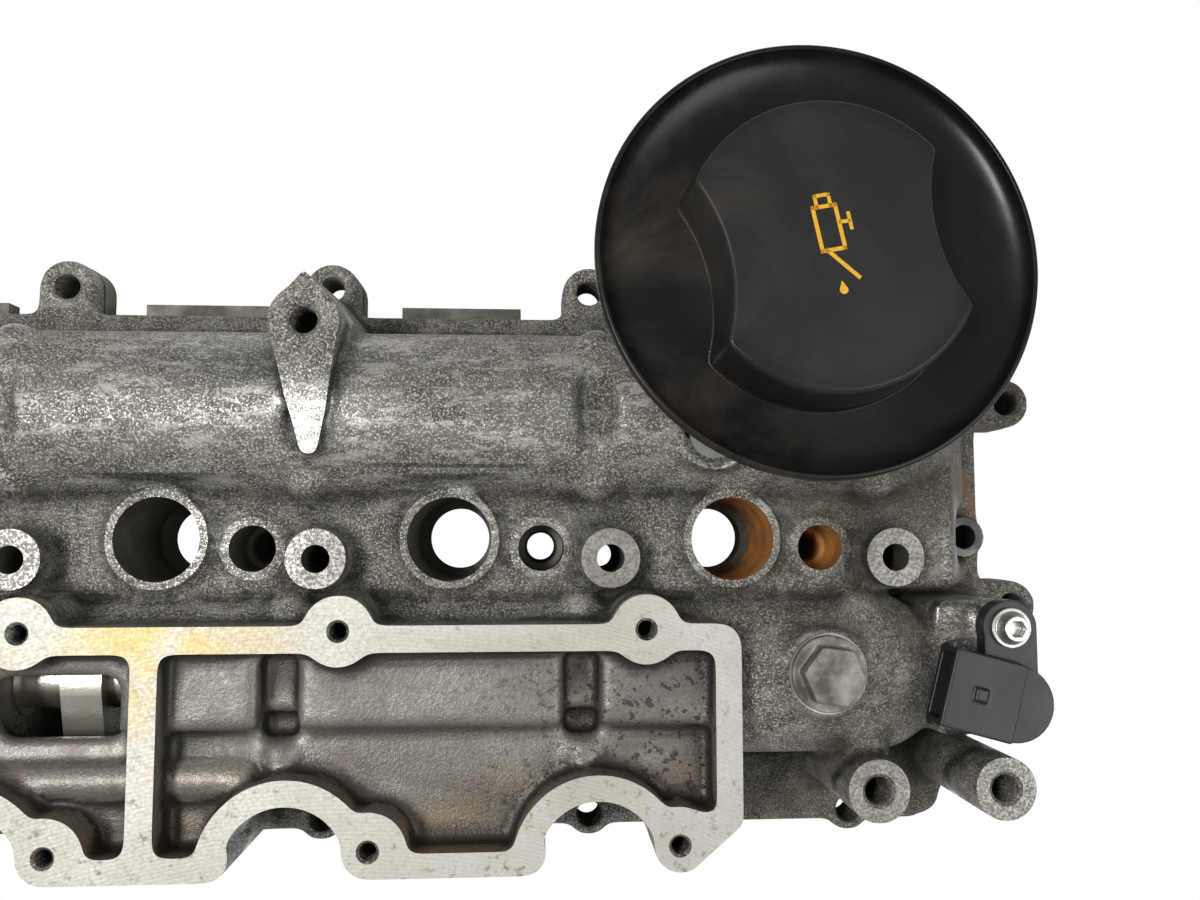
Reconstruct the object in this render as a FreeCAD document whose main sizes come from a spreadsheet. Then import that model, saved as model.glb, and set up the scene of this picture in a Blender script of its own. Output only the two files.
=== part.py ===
import FreeCAD, Part
import math
import os
import re
import Sketcher
from FreeCAD import Placement, Rotation, Vector

# Camshaft cover of a four-cylinder engine, in millimetres.
# X runs along the engine, Y across it and Z up from the face that sits on the cylinder head.
# The origin is on the axis of the third injector well, in the plane of that face.

SIZES = {
    # the row of cylinders
    "pitch": 93.0,
    "well_radius": 13.65,
    "well_foot_radius": 11.0,
    "well_rim_radius": 16.1,
    "well_rim_top": 52.8,
    "well_lobe_radius": 21.5,
    "glow_offset": 29.8,
    "glow_row": 3.0,
    "glow_radius": 7.5,
    "glow_foot_radius": 5.0,
    "glow_foot_top": 30.0,
    "glow_rim_radius": 9.6,
    "glow_rim_top": 51.2,
    "head_bolt_offset": 52.0,
    "head_bolt_row": 6.1,
    "head_bolt_boss_radius": 9.7,
    "head_bolt_hole_radius": 4.45,
    "head_bolt_top": 61.5,
    # the rails that seal against the cylinder head
    "cover_left": 247.0,
    "cover_right": 191.0,
    "rail_front": 100.5,
    "rail_back": 80.0,
    "rail_corner": 12.0,
    "rail_cut_length": 22.5,
    "rail_cut_width": 38.5,
    "rail_top": 20.0,
    "ladder_top": 10.0,
    "rail_bolt_offset": 47.2,
    "rail_hole_radius": 4.4,
    "back_ear_row": 89.6,
    "back_ear_radius": 9.8,
    "front_ear_row": 97.0,
    "front_ear_radius": 7.6,
    "end_ear_column": 203.0,
    "end_ear_back": 50.0,
    "end_ear_front": 25.0,
    "end_ear_radius": 9.2,
    "pad_reach": 85.8,
    "pad_length": 44.0,
    "pad_height": 8.0,
    # the camshafts and the tunnels above them
    "cam_height": 39.0,
    "back_cam_row": 41.0,
    "front_cam_row": 44.7,
    "cavity_radius": 24.0,
    "back_tunnel_radius": 28.5,
    "front_tunnel_radius": 27.0,
    "back_tunnel_right": 145.0,
    "front_tunnel_right": 140.0,
    "tunnel_left": 243.0,
    "end_wall": 4.0,
    "back_bay_right": 155.0,
    "front_bay_right": 181.0,
    "wheel_bay_radius": 15.0,
    "back_journal_last": 140.5,
    "front_journal_last": 135.5,
    "journal_radius": 12.0,
    "journal_gap": 0.05,
    "web_thick": 16.0,
    "saddle_half": 25.3,
    "saddle_gap": 0.1,
    "seal_radius": 17.0,
    "seal_thick": 7.0,
    "shaft_radius": 10.0,
    "nose_reach": 15.0,
    "nose_radius": 11.0,
    "lobe_offset": 21.0,
    "lobe_thick": 12.6,
    "lobe_base_radius": 15.5,
    "lobe_nose_radius": 6.0,
    "lobe_lift": 7.0,
    "wheel_radius": 12.5,
    "wheel_thick": 4.0,
    "wheel_place": 174.0,
    # the domed columns over the ladder screws
    "column_radius": 6.9,
    "column_offset": 21.5,
    "back_column_top": 61.0,
    "valley_column_top": 59.0,
    "pocket_column_top": 66.0,
    "ladder_screw_radius": 3.0,
    "ladder_screw_gap": 0.3,
    "ladder_screw_head": 5.0,
    "ladder_screw_head_height": 5.0,
    "ladder_screw_reach": 46.0,
    # the deck between the tunnels
    "deck_top": 50.0,
    "deck_front": 17.0,
    "deck_back": 18.0,
    "deck_right": 163.0,
    "slope_back": 62.0,
    "slope_top_width": 6.0,
    # the gasket frame over the front tunnel
    "gasket_top": 75.3,
    "frame_left": 228.0,
    "frame_right": 91.2,
    "frame_back": 25.7,
    "frame_front": 100.0,
    "frame_corner": 7.0,
    "frame_width": 8.2,
    "divider_left": 91.4,
    "divider_right": 83.4,
    "back_thread_last": 61.9,
    "back_thread_row": 27.4,
    "back_thread_boss": 10.8,
    "front_thread_last": 71.8,
    "front_thread_row": 92.0,
    "front_thread_boss": 7.9,
    "front_thread_land": 11.6,
    "gasket_thread_radius": 2.6,
    "gasket_thread_mouth": 3.3,
    "gasket_thread_depth": 15.0,
    "notch_row": 96.8,
    "notch_radius": 18.3,
    "mouth_reach": 22.2,
    "mouth_round": 6.6,
    "corner_run": 16.5,
    "corner_rise": 14.0,
    "corner_land": 82.4,
    "shelf_floor": 67.5,
    "shelf_edge": 57.5,
    "lower_floor": 63.0,
    "window_left": 134.0,
    "window_right": 97.7,
    "window_back": 41.3,
    "window_front": 60.0,
    "window_corner": 3.7,
    "gallery_row": 73.0,
    "gallery_height": 60.0,
    "gallery_radius": 6.8,
    "gallery_end": 62.0,
    "relief_width": 11.6,
    "relief_floor": 60.0,
    "relief_hole_floor": 56.0,
    "oil_bay_front": 95.0,
    "oil_bay_back": 75.0,
    "oil_bay_length": 42.0,
    "oil_bay_top": 56.0,
    # the reliefs in the back tunnel
    "slot_width": 11.6,
    "slot_length": 28.0,
    "slot_floor": 63.0,
    # the tall ear on the back tunnel
    "ear_column": 44.6,
    "ear_row": 68.4,
    "ear_top": 69.5,
    "ear_radius": 11.2,
    "ear_tip": 16.0,
    "ear_tail": 42.0,
    "ear_tail_half": 2.4,
    "ear_tail_shift": 2.5,
    "ear_draft": 3.0,
    "ear_thread_radius": 4.25,
    "ear_thread_depth": 20.0,
    # the two pillars at the right end
    "pillar_left": 133.3,
    "pillar_right": 173.2,
    "pillar_row": 77.0,
    "pillar_radius": 9.8,
    "pillar_top": 75.3,
    "pillar_thread_radius": 4.25,
    "pillar_thread_mouth": 5.0,
    "pillar_thread_depth": 28.0,
    "stub_column": 168.0,
    "stub_row": 92.5,
    "stub_radius": 6.6,
    # the screw plug over the front camshaft
    "plug_column": 120.1,
    "plug_row": 42.3,
    "plug_boss_radius": 14.5,
    "plug_seat": 67.5,
    "plug_washer_thick": 1.2,
    "plug_flange_radius": 12.0,
    "plug_flange_thick": 2.4,
    "plug_hex_across": 17.0,
    "plug_hex_height": 6.0,
    "plug_shank_radius": 8.0,
    "plug_shank_reach": 5.2,
    # the socket plug over the back camshaft
    "socket_column": 85.0,
    "socket_row": 33.6,
    "socket_boss_radius": 12.5,
    "socket_rim_top": 67.0,
    "socket_recess_radius": 9.4,
    "socket_recess_floor": 61.5,
    "socket_head_radius": 7.8,
    "socket_head_height": 4.0,
    "socket_key_across": 8.0,
    "socket_key_depth": 3.0,
    "socket_shank_radius": 5.5,
    # the guide sleeve in the right rail
    "sleeve_column": 183.7,
    "sleeve_row": 0.3,
    "sleeve_boss_radius": 9.4,
    "sleeve_radius": 7.4,
    "sleeve_bore": 4.2,
    "sleeve_top": 24.0,
    # the position sensor
    "sensor_column": 178.6,
    "sensor_row": 51.8,
    "sensor_seat": 62.0,
    "sensor_pad_left": 158.0,
    "sensor_pad_right": 184.5,
    "sensor_pad_front": 64.0,
    "sensor_pad_back": 20.0,
    "sensor_bore_gap": 0.2,
    "sensor_probe_radius": 8.8,
    "sensor_probe_tip": 53.0,
    "sensor_flange_radius": 12.0,
    "sensor_flange_thick": 7.0,
    "sensor_turn": 165.0,
    "shroud_reach": 23.5,
    "shroud_width": 24.6,
    "shroud_height": 13.0,
    "shroud_wall": 2.0,
    "shroud_depth": 12.0,
    "shroud_lift": 0.4,
    "sensor_ear_distance": 23.4,
    "sensor_ear_radius": 8.8,
    "sensor_ear_thick": 6.5,
    "sensor_sleeve_radius": 5.0,
    "sensor_screw_radius": 3.0,
    "sensor_screw_flange": 6.4,
    "sensor_screw_head": 5.0,
    "sensor_screw_head_height": 4.0,
    "sensor_screw_reach": 14.0,
    "sensor_key_radius": 2.7,
    "sensor_oring_section": 1.0,
    "terminal_width": 0.64,
    "terminal_spacing": 4.5,
    "terminal_reach": 8.0,
    # the oil filler, built along its own leaning axis
    "rim_x": 105.5,
    "rim_y": 77.6,
    "rim_z": 120.1,
    "lean": 4.7,
    "lean_heading": 69.0,
    "cap_radius": 62.0,
    "cap_wall": 2.8,
    "knob_radius": 39.2,
    "knob_height": 12.0,
    "valley_depth": 11.5,
    "valley_inner": 43.5,
    "valley_outer": 48.5,
    "scallop_radius": 50.0,
    "scallop_distance": 78.6,
    "scallop_heading": 10.0,
    "insert_depth": 14.5,
    "insert_thick": 3.0,
    "insert_radius": 38.0,
    "insert_spigot": 4.0,
    "stem_radius": 21.6,
    "stem_wall": 3.0,
    "stem_foot": 35.0,
    "lug_radius": 24.4,
    "lug_thick": 4.0,
    "lug_width": 13.0,
    "seal_ring_thick": 3.0,
    "seal_ring_outer": 26.0,
    "neck_gap": 0.1,
    "neck_bore": 22.6,
    "neck_lip_depth": 29.5,
    "neck_chamber": 25.0,
    "neck_outer": 28.5,
    "neck_foot": 48.0,
    "neck_flange_thick": 5.0,
    "neck_flange_radius": 31.5,
    "neck_ear_distance": 37.0,
    "neck_ear_radius": 7.5,
    "neck_screw_radius": 3.0,
    "neck_screw_head": 5.0,
    "neck_screw_head_height": 5.0,
    "neck_screw_reach": 14.0,
    "neck_seal_inner": 27.0,
    "neck_seal_outer": 29.5,
    "neck_seal_thick": 2.0,
    "neck_boss_depth": 98.0,
    "passage_radius": 20.0,
}

CYLINDERS = 4
JOURNALS = CYLINDERS + 1
WORD = re.compile(r"[a-z_]+[a-z0-9_]*")
ALONG_X = Rotation(Vector(0, 1, 0), 90)

doc = FreeCAD.newDocument("CamshaftCover")
subparts = []


def write_sheet():
    sheet = doc.addObject("Spreadsheet::Sheet", "Sizes")
    for row, (name, value) in enumerate(SIZES.items(), start=1):
        sheet.set(f"A{row}", name)
        sheet.set(f"B{row}", str(value))
        sheet.setAlias(f"B{row}", name)
    doc.recompute()
    return sheet


sheet = write_sheet()


def size(name):
    return float(sheet.get(name))


def bind(obj, prop, rule):
    """Ties one property to a formula in the names of the sheet."""
    text = WORD.sub(
        lambda word: "Sizes." + word.group(0) if word.group(0) in SIZES else word.group(0),
        str(rule),
    )
    obj.setExpression(prop, text)


def set_at(obj, x, y, z):
    for axis, rule in zip("xyz", (x, y, z)):
        bind(obj, "Placement.Base." + axis, rule)


def box(name, corner, spans):
    obj = doc.addObject("Part::Box", name)
    for prop, rule in zip(("Length", "Width", "Height"), spans):
        bind(obj, prop, rule)
    set_at(obj, *corner)
    return obj


def span_box(name, x_range, y_range, z_range):
    """A block between two bounds on each axis."""
    corner = (x_range[0], y_range[0], z_range[0])
    spans = [f"({high}) - ({low})" for low, high in (x_range, y_range, z_range)]
    return box(name, corner, spans)


def rod(name, radius, low, high, x, y):
    """An upright cylinder between two heights."""
    obj = doc.addObject("Part::Cylinder", name)
    bind(obj, "Radius", radius)
    bind(obj, "Height", f"({high}) - ({low})")
    set_at(obj, x, y, low)
    return obj


def bar(name, radius, left, right, y, z):
    """A cylinder along X between two ends."""
    obj = doc.addObject("Part::Cylinder", name)
    bind(obj, "Radius", radius)
    bind(obj, "Height", f"({right}) - ({left})")
    obj.Placement = Placement(Vector(), ALONG_X)
    set_at(obj, left, y, z)
    return obj


def cone(name, low_radius, high_radius, low, high, x, y):
    obj = doc.addObject("Part::Cone", name)
    bind(obj, "Radius1", low_radius)
    bind(obj, "Radius2", high_radius)
    bind(obj, "Height", f"({high}) - ({low})")
    set_at(obj, x, y, low)
    return obj


def ball(name, radius, x, y, z):
    obj = doc.addObject("Part::Sphere", name)
    bind(obj, "Radius", radius)
    set_at(obj, x, y, z)
    return obj


def hexagon(name, across, low, high, x, y):
    obj = doc.addObject("Part::Prism", name)
    obj.Polygon = 6
    bind(obj, "Circumradius", f"({across}) / 2 / cos(30)")
    bind(obj, "Height", f"({high}) - ({low})")
    set_at(obj, x, y, low)
    return obj


def fuse(name, shapes, refine=True):
    obj = doc.addObject("Part::MultiFuse", name)
    obj.Shapes = shapes
    obj.Refine = refine
    return obj


def cut(name, base, tools):
    tool = tools[0] if len(tools) == 1 else fuse(name + "_tools", tools, refine=False)
    obj = doc.addObject("Part::Cut", name)
    obj.Base = base
    obj.Tool = tool
    obj.Refine = True
    return obj


def publish(obj, node):
    """Names a finished sub-part; the name is that of its node and its file."""
    obj.Label = node
    subparts.append(obj)
    return obj


def origin_plane(body, role):
    for feature in body.Origin.OriginFeatures:
        if feature.Role == role:
            return feature
    raise ValueError(role)


def outline_sketch(body, name, role, points):
    """A closed outline of straight sides; each corner is held by two bound distances."""
    sketch = body.newObject("Sketcher::SketchObject", name)
    sketch.AttachmentSupport = (origin_plane(body, role), [""])
    sketch.MapMode = "FlatFace"
    count = len(points)
    rough = [Vector(math.cos(2 * math.pi * i / count), math.sin(2 * math.pi * i / count), 0)
             for i in range(count)]
    for i in range(count):
        sketch.addGeometry(Part.LineSegment(rough[i], rough[(i + 1) % count]), False)
    for i in range(count):
        sketch.addConstraint(Sketcher.Constraint("Coincident", i, 2, (i + 1) % count, 1))
    for i, corner in enumerate(points):
        for axis, rule in zip("XY", corner):
            start = rough[i].x if axis == "X" else rough[i].y
            index = sketch.addConstraint(
                Sketcher.Constraint("Distance" + axis, -1, 1, i, 1, start)
            )
            label = f"{axis.lower()}{i}"
            sketch.renameConstraint(index, label)
            bind(sketch, "Constraints." + label, rule)
    return sketch


def pad(body, name, sketch, length, taper=None):
    feature = body.newObject("PartDesign::Pad", name)
    feature.Profile = sketch
    bind(feature, "Length", length)
    if taper:
        bind(feature, "TaperAngle", taper)
    return feature


def revolve(body, name, sketch):
    feature = body.newObject("PartDesign::Revolution", name)
    feature.Profile = sketch
    feature.ReferenceAxis = (sketch, ["V_Axis"])
    feature.Angle = 360.0
    return feature


def round_upright_edges(body, name, base, radius):
    doc.recompute()
    edges = []
    for number, edge in enumerate(base.Shape.Edges, start=1):
        ends = edge.Vertexes
        flat = abs(ends[0].X - ends[-1].X) + abs(ends[0].Y - ends[-1].Y)
        if flat < 1e-6 and abs(ends[0].Z - ends[-1].Z) > 1e-6:
            edges.append(f"Edge{number}")
    fillet = body.newObject("PartDesign::Fillet", name)
    fillet.Base = (base, edges)
    bind(fillet, "Radius", radius)
    body.Tip = fillet
    return fillet


def slab(name, points, z_range, corner=None):
    """A flat plate of any straight-sided outline, with its upright edges rounded if asked."""
    body = doc.addObject("PartDesign::Body", name)
    sketch = outline_sketch(body, name + "_outline", "XY_Plane", points)
    body.Tip = pad(body, name + "_pad", sketch, f"({z_range[1]}) - ({z_range[0]})")
    if corner:
        round_upright_edges(body, name + "_corners", body.Tip, corner)
    set_at(body, 0, 0, z_range[0])
    return body


def plate(name, x_range, y_range, z_range, corner):
    """A flat rectangular plate with rounded corners."""
    points = [(x_range[0], y_range[0]), (x_range[1], y_range[0]),
              (x_range[1], y_range[1]), (x_range[0], y_range[1])]
    return slab(name, points, z_range, corner)


def turned(name, profile):
    """A body turned about its own upright axis from a half profile of radius and height."""
    body = doc.addObject("PartDesign::Body", name)
    sketch = outline_sketch(body, name + "_profile", "XZ_Plane", profile)
    body.Tip = revolve(body, name + "_turn", sketch)
    return body


# Places that repeat along the engine.

def well_places():
    return [f"{1 - i} * pitch" for i in range(CYLINDERS)]


def head_bolt_places():
    return [f"head_bolt_offset + {1 - i} * pitch" for i in range(JOURNALS)]


def rail_bolt_places():
    return [f"rail_bolt_offset + {1 - i} * pitch" for i in range(JOURNALS)]


def journal_places(side):
    return [f"{side}_journal_last - {i} * pitch" for i in range(JOURNALS)]


def web_left(side, i):
    """Where a bearing web starts; the last ones run on to the end of the cover."""
    if i < JOURNALS - 1:
        return f"{journal_places(side)[i]} - web_thick / 2"
    return "-cover_left" if side == "back" else "end_wall - tunnel_left"


def thread_places(side):
    return [f"{side}_thread_last - {i} * pitch" for i in range(CYLINDERS)]


def notch_places():
    return [f"rail_bolt_offset - {i} * pitch" for i in range(CYLINDERS - 1)]


SIDES = {"back": "back_cam_row", "front": "-front_cam_row"}


def column_rows(side):
    return [f"{SIDES[side]} - column_offset", f"{SIDES[side]} + column_offset"]


def rail_ears(prefix, low, high):
    """The bolt ears around the rail between two heights."""
    ears = []
    for i, x in enumerate(rail_bolt_places()):
        ears.append(rod(f"{prefix}_back_ear_{i}", "back_ear_radius", low, high, x, "back_ear_row"))
        ears.append(box(f"{prefix}_back_ear_root_{i}",
                        (f"{x} - back_ear_radius", "rail_back - rail_corner", low),
                        ("2 * back_ear_radius", "back_ear_row - rail_back + rail_corner",
                         f"({high}) - ({low})")))
        ears.append(rod(f"{prefix}_front_ear_{i}", "front_ear_radius", low, high, x,
                        "-front_ear_row"))
    for label, y in (("upper", "end_ear_back"), ("lower", "-end_ear_front")):
        ears.append(rod(f"{prefix}_{label}_end_ear", "end_ear_radius", low, high,
                        "end_ear_column", y))
        ears.append(span_box(f"{prefix}_{label}_end_ear_root",
                             ("cover_right - rail_corner", "end_ear_column"),
                             (f"{y} - end_ear_radius", f"{y} + end_ear_radius"), (low, high)))
    return ears


def rail_holes(prefix, low, high):
    holes = []
    for i, x in enumerate(rail_bolt_places()):
        for label, y in (("back", "back_ear_row"), ("front", "-front_ear_row")):
            holes.append(rod(f"{prefix}_{label}_hole_{i}", "rail_hole_radius", low, high, x, y))
    for label, y in (("upper", "end_ear_back"), ("lower", "-end_ear_front")):
        holes.append(rod(f"{prefix}_{label}_end_hole", "rail_hole_radius", low, high,
                         "end_ear_column", y))
    for i, x in enumerate(head_bolt_places()):
        holes.append(rod(f"{prefix}_head_bolt_hole_{i}", "head_bolt_hole_radius", low, high,
                         x, "-head_bolt_row"))
    return holes


def rail_plate(name, low, high):
    """The outline of the rail, which is cut across its front right corner."""
    points = [("-cover_left", "-rail_front"), ("cover_right - rail_cut_length", "-rail_front"),
              ("cover_right", "-rail_front + rail_cut_width"), ("cover_right", "rail_back"),
              ("-cover_left", "rail_back")]
    return slab(name, points, (low, high), "rail_corner")


def bay_ranges(side):
    """The stretches between the bearing webs, and the last one at the right end."""
    places = journal_places(side)
    bays = [(f"{places[i + 1]} + web_thick / 2", f"{places[i]} - web_thick / 2")
            for i in range(CYLINDERS)]
    bays.append((f"{places[0]} + web_thick / 2", f"{side}_bay_right"))
    return bays


def oil_bay_ranges():
    middles = [f"rail_bolt_offset - {i + 0.5} * pitch" for i in range(CYLINDERS - 1)]
    return [(f"{x} - oil_bay_length / 2", f"{x} + oil_bay_length / 2") for x in middles]


def lean_frame(drop=0.0, turn=0.0):
    """The filler's own frame: its Z axis leans, and its origin is that far below the rim."""
    heading = math.radians(size("lean_heading"))
    tilt_axis = Vector(-math.sin(heading), math.cos(heading), 0)
    lean = Rotation(tilt_axis, size("lean"))
    axis = lean.multVec(Vector(0, 0, 1))
    rim = Vector(size("rim_x"), size("rim_y"), size("rim_z"))
    return Placement(rim - axis * drop, lean.multiply(Rotation(Vector(0, 0, 1), turn)))


def lean_rod(name, radius, top, bottom, reach=0.0, heading=0.0):
    """A cylinder along the filler's axis, between two depths below the rim."""
    obj = doc.addObject("Part::Cylinder", name)
    bind(obj, "Radius", radius)
    bind(obj, "Height", f"({bottom}) - ({top})")
    frame = lean_frame()
    side = Vector(reach * math.cos(math.radians(heading)),
                  reach * math.sin(math.radians(heading)), 0)
    low = Vector(side.x, side.y, -size_of(bottom))
    obj.Placement = Placement(frame.multVec(low), frame.Rotation)
    return obj


def size_of(rule):
    """The value of a formula in the names of the sheet."""
    cell = "E1"
    text = str(rule)
    sheet.set(cell, "=" + text)
    doc.recompute([sheet])
    return float(sheet.get(cell))


# The lower frame that carries the camshafts.

def ladder_saddles():
    parts = []
    for side, row in SIDES.items():
        for i, x in enumerate(journal_places(side)):
            parts.append(span_box(f"saddle_{side}_{i}",
                                  (web_left(side, i), f"{x} + web_thick / 2"),
                                  (f"{row} - saddle_half", f"{row} + saddle_half"),
                                  ("ladder_top / 2", "cam_height")))
    return parts


def ladder_openings():
    parts = []
    for side, row in SIDES.items():
        for i, x_range in enumerate(bay_ranges(side)):
            parts.append(span_box(f"ladder_bay_{side}_{i}", x_range,
                                  (f"{row} - cavity_radius", f"{row} + cavity_radius"),
                                  (-1, "ladder_top + 1")))
        parts.append(bar(f"ladder_bore_{side}", "journal_radius + journal_gap",
                         "-cover_left - 1", "cover_right + 1", row, "cam_height"))
    for i, x_range in enumerate(oil_bay_ranges()):
        parts.append(span_box(f"ladder_oil_bay_{i}", x_range,
                              ("-oil_bay_front", "-oil_bay_back"), (-1, "ladder_top + 1")))
    parts.append(bar("ladder_seal_seat", "seal_radius", "-cover_left - 1",
                     "-cover_left + seal_thick", "back_cam_row", "cam_height"))
    return parts


def ladder_screw_spots():
    return [(side, i, j, x, y)
            for side in SIDES
            for i, x in enumerate(journal_places(side))
            for j, y in enumerate(column_rows(side))]


def build_ladder():
    pads = [span_box(f"rail_pad_{i}",
                     (f"{x} - pad_length / 2", f"{x} + pad_length / 2"),
                     ("rail_back - rail_corner", "pad_reach"), (0, "pad_height"))
            for i, x in enumerate(well_places())]
    solid = fuse("ladder_solid", [rail_plate("ladder_plate", 0, "ladder_top")] + pads
                 + rail_ears("ladder", 0, "ladder_top") + ladder_saddles())
    holes = rail_holes("ladder", -1, "ladder_top + 1")
    holes.append(rod("ladder_sleeve_hole", "sleeve_bore", -1, "ladder_top + 1",
                     "sleeve_column", "sleeve_row"))
    for i, x in enumerate(well_places()):
        holes.append(rod(f"ladder_well_{i}", "well_foot_radius", -1, "ladder_top + 1", x, 0))
        holes.append(rod(f"ladder_glow_{i}", "glow_foot_radius", -1, "ladder_top + 1",
                         f"{x} + glow_offset", "-glow_row"))
    for side, i, j, x, y in ladder_screw_spots():
        holes.append(rod(f"ladder_shank_{side}_{i}_{j}",
                         "ladder_screw_radius + ladder_screw_gap", -1, "cam_height + 1", x, y))
        holes.append(rod(f"ladder_sink_{side}_{i}_{j}",
                         "ladder_screw_head + 2 * ladder_screw_gap",
                         -1, "ladder_screw_head_height + 1", x, y))
    publish(cut("ladder", solid, ladder_openings() + holes), "bearing_ladder")


def build_ladder_screws():
    number = 0
    for side, i, j, x, y in ladder_screw_spots():
        number += 1
        head = hexagon(f"ladder_head_{number}", "2 * ladder_screw_head * cos(30)", 1,
                       "ladder_screw_head_height + 1", x, y)
        shank = rod(f"ladder_stem_{number}", "ladder_screw_radius",
                    "ladder_screw_head_height + 1", "ladder_screw_reach", x, y)
        publish(fuse(f"ladder_fastener_{number}", [head, shank]), f"ladder_screw_{number:02d}")


# The cover casting.

def casting_tunnels():
    parts = []
    for side, row in SIDES.items():
        radius = f"{side}_tunnel_radius"
        right = f"{side}_tunnel_right"
        left = "-cover_left" if side == "back" else "-tunnel_left"
        parts.append(bar(f"{side}_tunnel", radius, left, right, row, "cam_height"))
        parts.append(span_box(f"{side}_tunnel_wall", (left, right),
                              (f"{row} - {radius}", f"{row} + {radius}"),
                              ("ladder_top", "cam_height")))
        parts.append(ball(f"{side}_tunnel_end", radius, right, row, "cam_height"))
        parts.append(rod(f"{side}_tunnel_end_wall", radius, "ladder_top", "cam_height",
                         right, row))
    return parts


def casting_deck():
    parts = [span_box("deck", ("-tunnel_left", "deck_right"), ("-deck_front", "deck_back"),
                      ("ladder_top", "deck_top"))]
    slope = doc.addObject("Part::Wedge", "deck_end")
    for prop, rule in (("Xmin", 0), ("Ymin", 0), ("Zmin", 0), ("X2min", 0), ("Z2min", 0),
                       ("Xmax", "cover_right - deck_right"), ("X2max", "slope_top_width"),
                       ("Ymax", "deck_top - ladder_top"), ("Zmax", "deck_front + slope_back"),
                       ("Z2max", "deck_front + slope_back")):
        bind(slope, prop, rule)
    slope.Placement = Placement(Vector(), Rotation(Vector(1, 0, 0), 90))
    set_at(slope, "deck_right", "slope_back", "ladder_top")
    parts.append(slope)
    for i, x in enumerate(well_places()):
        parts.append(rod(f"well_lobe_{i}", "well_lobe_radius", "ladder_top", "deck_top", x, 0))
        parts.append(rod(f"well_rim_{i}", "well_rim_radius", "ladder_top", "well_rim_top", x, 0))
        parts.append(rod(f"glow_rim_{i}", "glow_rim_radius", "ladder_top", "glow_rim_top",
                         f"{x} + glow_offset", "-glow_row"))
    for i, x in enumerate(head_bolt_places()):
        parts.append(rod(f"head_bolt_boss_{i}", "head_bolt_boss_radius", "ladder_top",
                         "head_bolt_top", x, "-head_bolt_row"))
    return parts


def column_top(side, j):
    if side == "back":
        return "back_column_top"
    return "pocket_column_top" if j == 0 else "valley_column_top"


def casting_columns():
    """The domed columns that take the ladder screws, apart from those under the pocket."""
    parts = []
    for side, i, j, x, y in ladder_screw_spots():
        top = column_top(side, j)
        parts.append(rod(f"column_{side}_{i}_{j}", "column_radius", "cam_height",
                         f"{top} - column_radius", x, y))
        parts.append(ball(f"dome_{side}_{i}_{j}", "column_radius", x, y,
                          f"{top} - column_radius"))
    return parts


def casting_ear():
    """The tall ear: a pointed boss whose tail runs down over the tunnel."""
    body = doc.addObject("PartDesign::Body", "ear_body")
    middle = "-ear_column"
    points = [
        (f"{middle}", "ear_row + ear_tip"),
        (f"{middle} - ear_radius * cos(15)", "ear_row + ear_radius * sin(15)"),
        (f"{middle} - ear_radius * cos(20)", "ear_row - ear_radius * sin(20)"),
        (f"{middle} + ear_tail_shift - ear_tail_half", "ear_row - ear_tail"),
        (f"{middle} + ear_tail_shift + ear_tail_half", "ear_row - ear_tail"),
        (f"{middle} + ear_radius * cos(20)", "ear_row - ear_radius * sin(20)"),
        (f"{middle} + ear_radius * cos(15)", "ear_row + ear_radius * sin(15)"),
    ]
    sketch = outline_sketch(body, "ear_outline", "XY_Plane", points)
    column = pad(body, "ear_column_pad", sketch, "ear_top - ladder_top", "ear_draft")
    column.Reversed = True
    body.Tip = column
    set_at(body, 0, 0, "ear_top")
    return [body, rod("ear_round", "ear_radius", "ladder_top", "ear_top", middle, "ear_row")]


def casting_right_end():
    parts = []
    for label in ("left", "right"):
        parts.append(rod(f"pillar_{label}", "pillar_radius", "ladder_top", "pillar_top",
                         f"pillar_{label}", "-pillar_row"))
    parts.append(rod("stub", "stub_radius", "ladder_top", "rail_top - 2", "stub_column",
                     "-stub_row"))
    parts.append(rod("plug_boss", "plug_boss_radius", "cam_height", "plug_seat",
                     "plug_column", "-plug_row"))
    parts.append(rod("socket_boss", "socket_boss_radius", "cam_height", "socket_rim_top",
                     "socket_column", "socket_row"))
    parts.append(rod("sleeve_boss", "sleeve_boss_radius", "ladder_top", "rail_top",
                     "sleeve_column", "sleeve_row"))
    parts.append(plate("sensor_pad", ("sensor_pad_left", "sensor_pad_right"),
                       ("-sensor_pad_front", "-sensor_pad_back"),
                       ("ladder_top", "sensor_seat - 3"), "4"))
    parts.append(rod("sensor_boss", "sensor_flange_radius", "ladder_top", "sensor_seat",
                     "sensor_column", "-sensor_row"))
    ear_x, ear_y = sensor_ear_spot()
    parts.append(rod("sensor_ear_boss", "sensor_ear_radius - 0.6", "ladder_top",
                     "sensor_seat", ear_x, ear_y))
    return parts


def sensor_ear_spot():
    return "sensor_column + 0.6", "-sensor_row + sensor_ear_distance"


def casting_neck_boss():
    distance = size("neck_ear_distance")
    parts = [lean_rod("neck_boss", "neck_flange_radius", "neck_foot", "neck_boss_depth")]
    for i, heading in enumerate((0.0, 180.0)):
        parts.append(lean_rod(f"neck_ear_boss_{i}", "neck_ear_radius", "neck_foot",
                              "neck_boss_depth", distance, heading))
    return parts


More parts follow.
